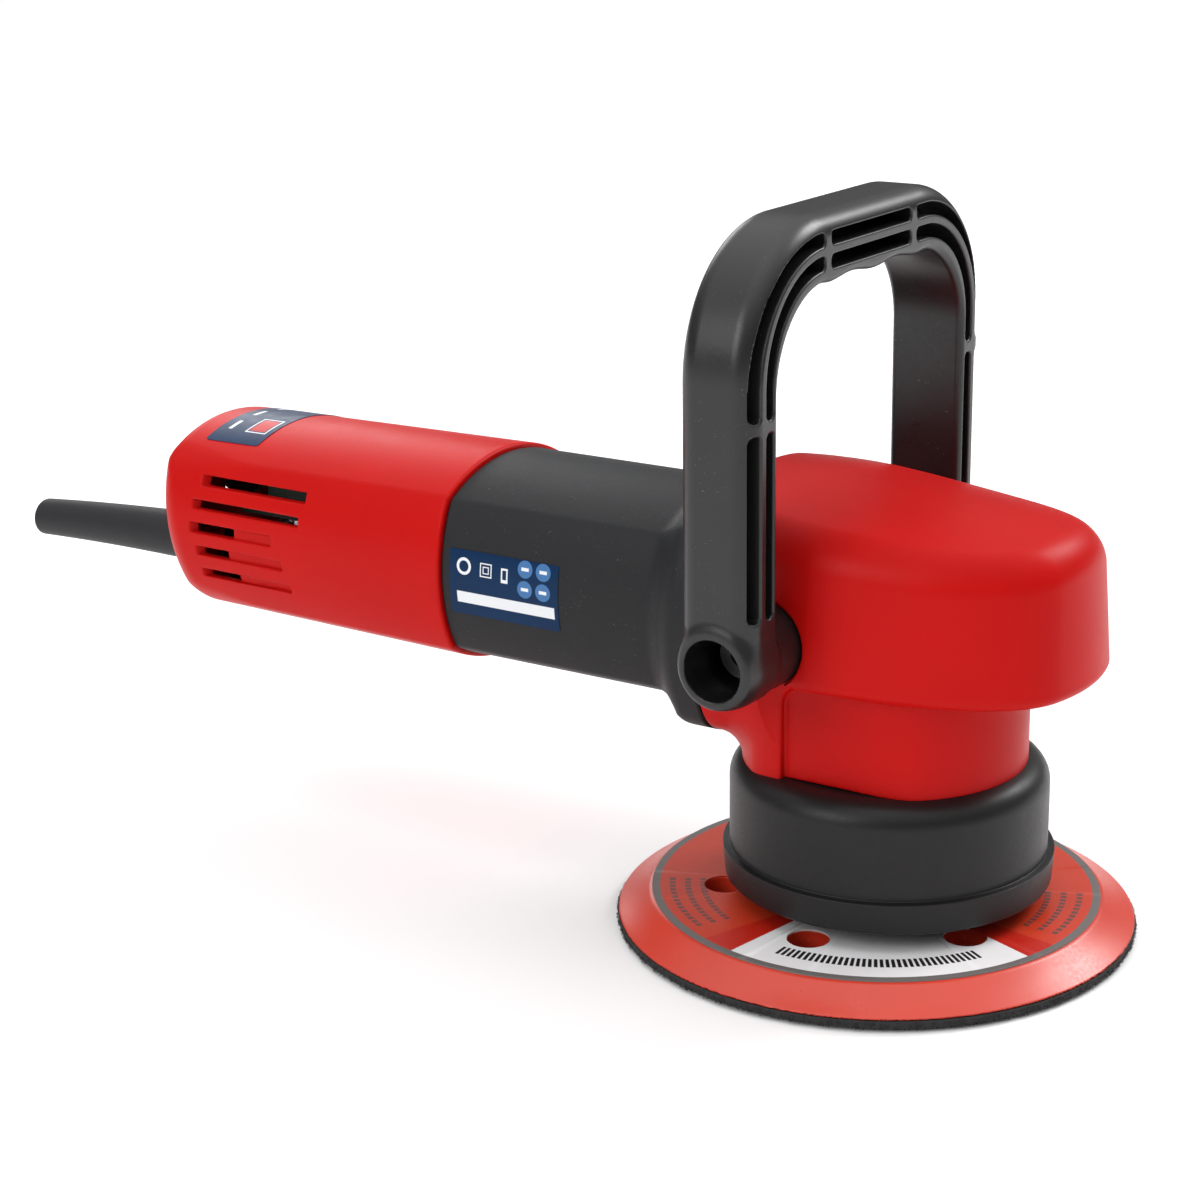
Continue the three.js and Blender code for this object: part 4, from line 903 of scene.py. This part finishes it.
def cut_through(mesh, *cutters):
    """The mesh with the cutters' meshes taken out of it."""
    obj = bpy.data.objects.new("work", mesh)
    bpy.context.scene.collection.objects.link(obj)
    tools = []
    for cutter in cutters:
        tool = bpy.data.objects.new("cutter", cutter)
        bpy.context.scene.collection.objects.link(tool)
        modifier = obj.modifiers.new("cut", "BOOLEAN")
        modifier.operation = "DIFFERENCE"
        modifier.solver = "EXACT"
        modifier.object = tool
        tools.append(tool)
    made = applied(obj).data
    for done in [obj, *tools]:
        bpy.data.objects.remove(done)
    made.set_sharp_from_angle(angle=math.radians(35))
    return made


def shifted(dx, dy):
    return lambda points, normals: (points + [dx, dy, 0], normals)


def pad_label_material():
    """Orange faces, a white sector towards the front, a grey rim and rows of plain dashes."""
    f = Finish("pad_label_print")
    dx = f.math("SUBTRACT", f.x, PAD_X * MM)
    radius = f.math("SQRT", f.math("ADD", f.math("MULTIPLY", dx, dx), f.math("MULTIPLY", f.y, f.y)))
    angle = f.math("ARCTAN2", f.y, dx)
    tone = f.mix(f.noise(0.02, 3), tinted(ORANGE, 0.93), tinted(ORANGE, 1.06))

    def sector(middle, half):
        away = f.math("ABSOLUTE", f.math("SUBTRACT", angle, math.radians(middle)))
        return f.between(away, math.radians(half) - 0.002, math.radians(half) + 0.002, 1, 0)

    def ring(low, high):
        return f.math("MULTIPLY", f.between(radius, low - 0.00007, low + 0.00007),
                      f.between(radius, high - 0.00007, high + 0.00007, 1, 0))

    tone = f.mix(sector(WHITE_MIDDLE, 50.0), tone, DEEP_ORANGE)
    white = f.mix(f.noise(0.015, 2), (0.8, 0.8, 0.81), (0.87, 0.87, 0.88))
    tone = f.mix(sector(WHITE_MIDDLE, WHITE_HALF), tone, white)
    steps = f.math("FRACT", f.math("MULTIPLY", angle, 34.0))
    dash = f.math("LESS_THAN", steps, 0.62)
    wide = f.math("MULTIPLY", f.math("MULTIPLY", dash, ring(0.0515, 0.0565)), sector(-61.0, 30.0))
    tone = f.mix(wide, tone, PRINT_BLACK)
    fine_steps = f.math("LESS_THAN", f.math("FRACT", f.math("MULTIPLY", angle, 23.0)), 0.7)
    rows = joined(f, [ring(0.049, 0.0507), ring(0.0535, 0.0552), ring(0.058, 0.0597)])
    small = f.math("MULTIPLY", f.math("MULTIPLY", fine_steps, rows),
                   f.math("MAXIMUM", sector(-135.0, 17.0), sector(10.0, 15.0)))
    tone = f.mix(small, tone, PRINT_BROWN)
    tone = f.mix(ring(0.0625, 0.066), tone, RIM_GREY)
    rough = f.between(f.noise(0.004, 3), 0.3, 0.7, 0.3, 0.42)
    return f.finish(tone, rough, f.bump(f.noise(0.0015, 2), 0.00001, 0.5))


def pad_label():
    corners = [(LABEL_HOLE_R, PAD_TOP_Z - 0.2, 0), (LABEL_R, PAD_TOP_Z - 0.2, 0),
               (LABEL_R, LABEL_TOP_Z, 0.06), (LABEL_HOLE_R, LABEL_TOP_Z, 0.06)]
    disc = lathe_mesh("pad_label_disc", corners, 240, 2, shifted(PAD_X, 0))
    cutters = []
    for k in range(PAD_HOLES):
        angle = FIRST_HOLE + 2 * math.pi * k / PAD_HOLES
        away = shifted(PAD_X + PAD_HOLE_CIRCLE_R * math.cos(angle), PAD_HOLE_CIRCLE_R * math.sin(angle))
        corners = [(0.01, PAD_TOP_Z - 3, 0), (PAD_HOLE_R + 0.25, PAD_TOP_Z - 3, 0),
                   (PAD_HOLE_R + 0.25, LABEL_TOP_Z + 3, 0), (0.01, LABEL_TOP_Z + 3, 0)]
        cutters.append(lathe_mesh("pad_hole_cutter", corners, 64, 1, away))
    print_mesh = cut_through(disc, *cutters)
    piece("pad_label_print", print_mesh, pad_label_material(), "pad", "pad_print", "pad_label")


pad_label()

LOOPS = 2600
LOOP_TUBE_R = 0.075
HOOK_R = 74.8
HOOK_BOTTOM_Z = 0.45


def hook_face():
    """The woven hook layer: a dark disc whose rim and underside bristle with small loops."""
    cloth = moulded("hook_cloth", (0.022, 0.022, 0.023), 0.85, grain=0.0006, depth=0.0003)
    corners = [(4.0, HOOK_BOTTOM_Z, 0.1), (HOOK_R, HOOK_BOTTOM_Z, 0.5), (75.0, HOOK_TOP_Z + 0.1, 0.3),
               (4.0, HOOK_TOP_Z + 0.1, 0.1)]
    disc = lathe_mesh("hook_disc", corners, 240, 3, shifted(PAD_X, 0))
    piece("hook_disc", disc, cloth, "pad", "hook", "hook_face")
    turn = rng.uniform(0, 2 * math.pi, LOOPS)
    under = rng.uniform(size=LOOPS) < 0.4
    radius = np.where(under, rng.uniform(71.0, 74.7, LOOPS), HOOK_R)
    height = np.where(under, 0.5, rng.uniform(0.5, 2.5, LOOPS))
    outward = np.stack([np.cos(turn), np.sin(turn), np.zeros(LOOPS)], 1)
    root = outward * radius[:, None] + np.stack([np.full(LOOPS, PAD_X), np.zeros(LOOPS), height], 1)
    rise = np.where(under[:, None], outward * 0.3 + [0, 0, -1.0], outward + [0, 0, -0.15])
    rise += rng.normal(0, 0.25, (LOOPS, 3))
    rise /= np.linalg.norm(rise, axis=1)[:, None]
    sideways = np.cross(rise, rng.normal(size=(LOOPS, 3)))
    sideways /= np.linalg.norm(sideways, axis=1)[:, None]
    tall = np.where(under, rng.uniform(0.3, 0.5, LOOPS), rng.uniform(0.35, 0.75, LOOPS))
    wide = rng.uniform(0.25, 0.45, LOOPS)
    stops = np.linspace(0, math.pi, 6)
    path = (
        root[:, None]
        - rise[:, None] * 0.12
        + sideways[:, None] * (wide[:, None] * np.cos(stops))[..., None]
        + rise[:, None] * (tall[:, None] * np.sin(stops))[..., None]
    )
    path[..., 2] = np.maximum(path[..., 2], LOOP_TUBE_R)
    binormal = np.cross(rise, sideways)
    out = sideways[:, None] * np.cos(stops)[None, :, None] + rise[:, None] * np.sin(stops)[None, :, None]
    rings = []
    for k in range(3):
        a = 2 * math.pi * k / 3
        rings.append(path + LOOP_TUBE_R * (math.cos(a) * out + math.sin(a) * binormal[:, None]))
    points = np.stack(rings, 2).reshape(-1, 3)
    base = np.arange(LOOPS)[:, None, None] * len(stops) * 3
    along = np.arange(len(stops) - 1)[None, :, None] * 3
    around = np.arange(3)[None, None, :]
    here = base + along + around
    beside = base + along + (around + 1) % 3
    faces = np.stack([here, beside, beside + 3, here + 3], -1).reshape(-1, 4)
    piece("hook_loops", mesh_of("hook_loops", points, faces), cloth, "pad", "hook")


hook_face()

# ---- switch button and speed dial ----

SLIDER_LOW_X, SLIDER_HIGH_X = node_box("switch_slider")[0][0], node_box("switch_slider")[1][0]
SLIDER_TOP_Y = node_box("switch_slider")[1][1]
BUTTON_LOW_X, BUTTON_HIGH_X = -174.0, -158.0
RIDGE_PITCH = 3.0
DIAL_R = (node_box("speed_dial")[1][0] - node_box("speed_dial")[0][0]) / 2
DIAL_HALF = (node_box("speed_dial")[1][1] - node_box("speed_dial")[0][1]) / 2
DIAL_TEETH = 30


def switch_slider(x, y, z):
    middle = (BUTTON_LOW_X + BUTTON_HIGH_X) / 2
    half = (BUTTON_HIGH_X - BUTTON_LOW_X) / 2
    dish = 0.9 * np.clip(1 - ((x - middle) / half) ** 2, 0, 1)
    ridge = 0.75 * np.cos(math.pi * (x - BUTTON_LOW_X - 2) / RIDGE_PITCH) ** 2 * (np.abs(x - middle) < 7.5)
    top = (y - SLIDER_TOP_Y + 1.0 + dish - ridge) * 0.85
    button = rounded_cut(rectangle(x - middle, z - MOTOR_Z, half, 5.9, 1.5), top, 0.7)
    button = np.maximum(button, 30 - y)
    plate_middle, plate_half = (SLIDER_LOW_X + SLIDER_HIGH_X) / 2, (SLIDER_HIGH_X - SLIDER_LOW_X) / 2
    plate = rectangle(x - plate_middle, z - MOTOR_Z, plate_half, 8.4, 1.0)
    return rounded_join(button, np.maximum(plate, np.abs(y - 30.6) - 1.0), 0.5)


def speed_dial(x, y, z):
    u, v = x - DIAL_X, z - DIAL_Z
    radius = np.hypot(u, v)
    teeth = 0.28 * (1 + np.cos(DIAL_TEETH * np.arctan2(v, u))) * smooth_step(-np.abs(y), -2.6, -2.0)
    rim = (radius - DIAL_R + teeth) * 0.85
    wheel = rounded_cut(rim, np.abs(y) - DIAL_HALF, 0.6)
    dish = np.maximum(radius - 7.2, DIAL_HALF - 1.0 - np.abs(y))
    return carve(carve(wheel, dish, 0.4), radius - 2.0, 0.3)


control_black = moulded("control_black", (0.016, 0.016, 0.017), 0.38, grain=0.0004, depth=0.00002)
field_piece("switch_slider", switch_slider, (SLIDER_LOW_X, 29, MOTOR_Z - 9),
            (SLIDER_HIGH_X, 41, MOTOR_Z + 9), 0.35, 50000, control_black, "switch", "housing_black")
field_piece("speed_dial", speed_dial, (DIAL_X - 11, -4, DIAL_Z - 11),
            (DIAL_X + 11, 4, DIAL_Z + 11), 0.35, 50000, control_black, "dial", "housing_black")

# ---- looks of the CAD parts that stay ----

steel = metal("bright_steel", (0.62, 0.62, 0.64), 0.3)
dark_steel = metal("dark_steel", (0.12, 0.12, 0.13), 0.38)
aluminium = metal("cast_aluminium", (0.68, 0.69, 0.71), 0.45, grain=0.0009)
copper = metal("enamelled_copper", (0.62, 0.25, 0.11), 0.32, stretch=(1, 6, 6), grain=0.0012)
brass = metal("brass", (0.72, 0.5, 0.2), 0.34)
laminations = metal("laminations", (0.3, 0.31, 0.33), 0.45, stretch=(9, 0.3, 0.3), grain=0.004)
carbon = moulded("carbon_brush", (0.03, 0.03, 0.032), 0.7, grain=0.0003, depth=0.00002)
board = moulded("circuit_board", (0.004, 0.022, 0.009), 0.45, grain=0.0008, depth=0.00001)
inner_black = moulded("inner_black", (0.02, 0.02, 0.021), 0.5)

CAD_LOOKS = [
    (steel, ["spindle_bearing_lower", "spindle_bearing_upper", "armature_bearing_front",
             "armature_bearing_rear", "armature_shaft", "drive_spindle", "pad_bearing_lower",
             "pad_bearing_upper", "pad_stud", "rear_screw_left", "rear_screw_right", "weight_screw_left",
             "weight_screw_right", "clamp_screw_left", "clamp_screw_right", "cap_screw_1", "cap_screw_2",
             "cap_screw_3", "cap_screw_4"]),
    (dark_steel, ["handle_bolt_left", "handle_bolt_right", "pinion_gear", "ring_gear",
                  "eccentric_carrier", "counterweight", "bearing_retainer", "pad_spindle"]),
    (aluminium, ["gear_case", "gear_case_cap", "pad_hub"]),
    (laminations, ["stator_core", "armature_core"]),
    (copper, ["field_coil_left", "field_coil_right", "armature_winding_front", "armature_winding_rear",
              "commutator"]),
    (brass, ["brush_holder_left", "brush_holder_right"]),
    (carbon, ["carbon_brush_left", "carbon_brush_right"]),
    (board, ["speed_controller"]),
    (inner_black, ["switch_module", "cord_clamp", "rear_bearing_bracket", "cooling_fan"]),
]


def dress_cad():
    for material, names in CAD_LOOKS:
        for name in names:
            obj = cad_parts[name]
            if obj.material_slots:
                for place in obj.material_slots:
                    place.material = material
            else:
                obj.data.materials.append(material)


dress_cad()
rounded_nodes = ["handle_bolt_left", "handle_bolt_right", "rear_screw_left", "rear_screw_right"]
for node in rounded_nodes:
    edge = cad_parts[node].modifiers.new("edge", "BEVEL")
    edge.width = 0.25 * MM
    edge.segments = 3
    edge.limit_method = "ANGLE"

# ---- stage, light and camera ----

HORIZON_GLOW = 0.08
CEILING_GLOW = 1.9
FLOOR_HALF = 20000.0
LENS = 76.594


def stage_floor():
    corners = np.array([[-1, -1, 0], [1, -1, 0], [1, 1, 0], [-1, 1, 0]]) * FLOOR_HALF
    mesh = mesh_of("floor", corners - [0, 0, 0.6], np.array([[0, 1, 2, 3]]))
    floor = bpy.data.objects.new("floor", mesh)
    bpy.context.scene.collection.objects.link(floor)
    f = Finish("floor_paper")
    tone = f.mix(f.noise(0.4, 2), (0.95, 0.95, 0.95), (0.97, 0.97, 0.97))
    mesh.materials.append(f.finish(tone, 0.9, Specular_IOR_Level=0.0))


def soft_light(name, place, aim, size, power, color=(1, 1, 1)):
    data = bpy.data.lights.new(name, "AREA")
    data.shape = "RECTANGLE"
    data.size, data.size_y = size
    data.energy = power
    data.color = color
    light = bpy.data.objects.new(name, data)
    bpy.context.scene.collection.objects.link(light)
    light.location = place
    light.rotation_euler = (Vector(aim) - Vector(place)).to_track_quat("-Z", "Y").to_euler()


def studio_world():
    """A white ceiling that darkens towards the horizon."""
    world = bpy.data.worlds.new("studio")
    world.use_nodes = True
    nodes, links = world.node_tree.nodes, world.node_tree.links

    def math_node(operation, first, *rest):
        node = nodes.new("ShaderNodeMath")
        node.operation = operation
        links.new(first, node.inputs[0])
        for value, socket in zip(rest, node.inputs[1:]):
            socket.default_value = value
        return node.outputs[0]

    split = nodes.new("ShaderNodeSeparateXYZ")
    links.new(nodes.new("ShaderNodeTexCoord").outputs["Generated"], split.inputs[0])
    square = math_node("POWER", math_node("MAXIMUM", split.outputs["Z"], 0.0), 2.0)
    level = math_node("MULTIPLY_ADD", square, CEILING_GLOW, HORIZON_GLOW)
    background = nodes["Background"]
    background.inputs["Color"].default_value = (1, 1, 1, 1)
    links.new(level, background.inputs["Strength"])
    bpy.context.scene.world = world


stage_floor()
studio_world()
soft_light("key", (-0.5, -1.7, 1.0), (-0.02, 0, 0.1), (0.9, 0.9), 12)
soft_light("back_left", (-1.7, 1.3, 0.95), (0, 0, 0.12), (0.8, 0.8), 7)
soft_light("right_high", (0.7, 1.5, 1.4), (0, 0, 0.12), (0.7, 0.7), 22)
bpy.context.scene.view_settings.view_transform = "Standard"

CAMERA_AZIMUTH = math.radians(33.945)
CAMERA_ELEVATION = math.radians(17.48)
CAMERA_ROLL = math.radians(-0.946)
CAMERA_PLACE = (0.3132, -0.61209, 0.31319)


def add_camera():
    data = bpy.data.cameras.new("camera")
    data.sensor_width = 36.0
    data.lens = LENS
    camera = bpy.data.objects.new("camera", data)
    bpy.context.scene.collection.objects.link(camera)
    a, e = CAMERA_AZIMUTH, CAMERA_ELEVATION
    back = Vector((math.sin(a) * math.cos(e), -math.cos(a) * math.cos(e), math.sin(e)))
    right = Vector((math.cos(a), math.sin(a), 0))
    up = back.cross(right)
    c, s = math.cos(CAMERA_ROLL), math.sin(CAMERA_ROLL)
    right, up = c * right + s * up, c * up - s * right
    turn = Matrix((right, up, back)).transposed().to_4x4()
    camera.matrix_world = Matrix.Translation(CAMERA_PLACE) @ turn
    bpy.context.scene.camera = camera


add_camera()
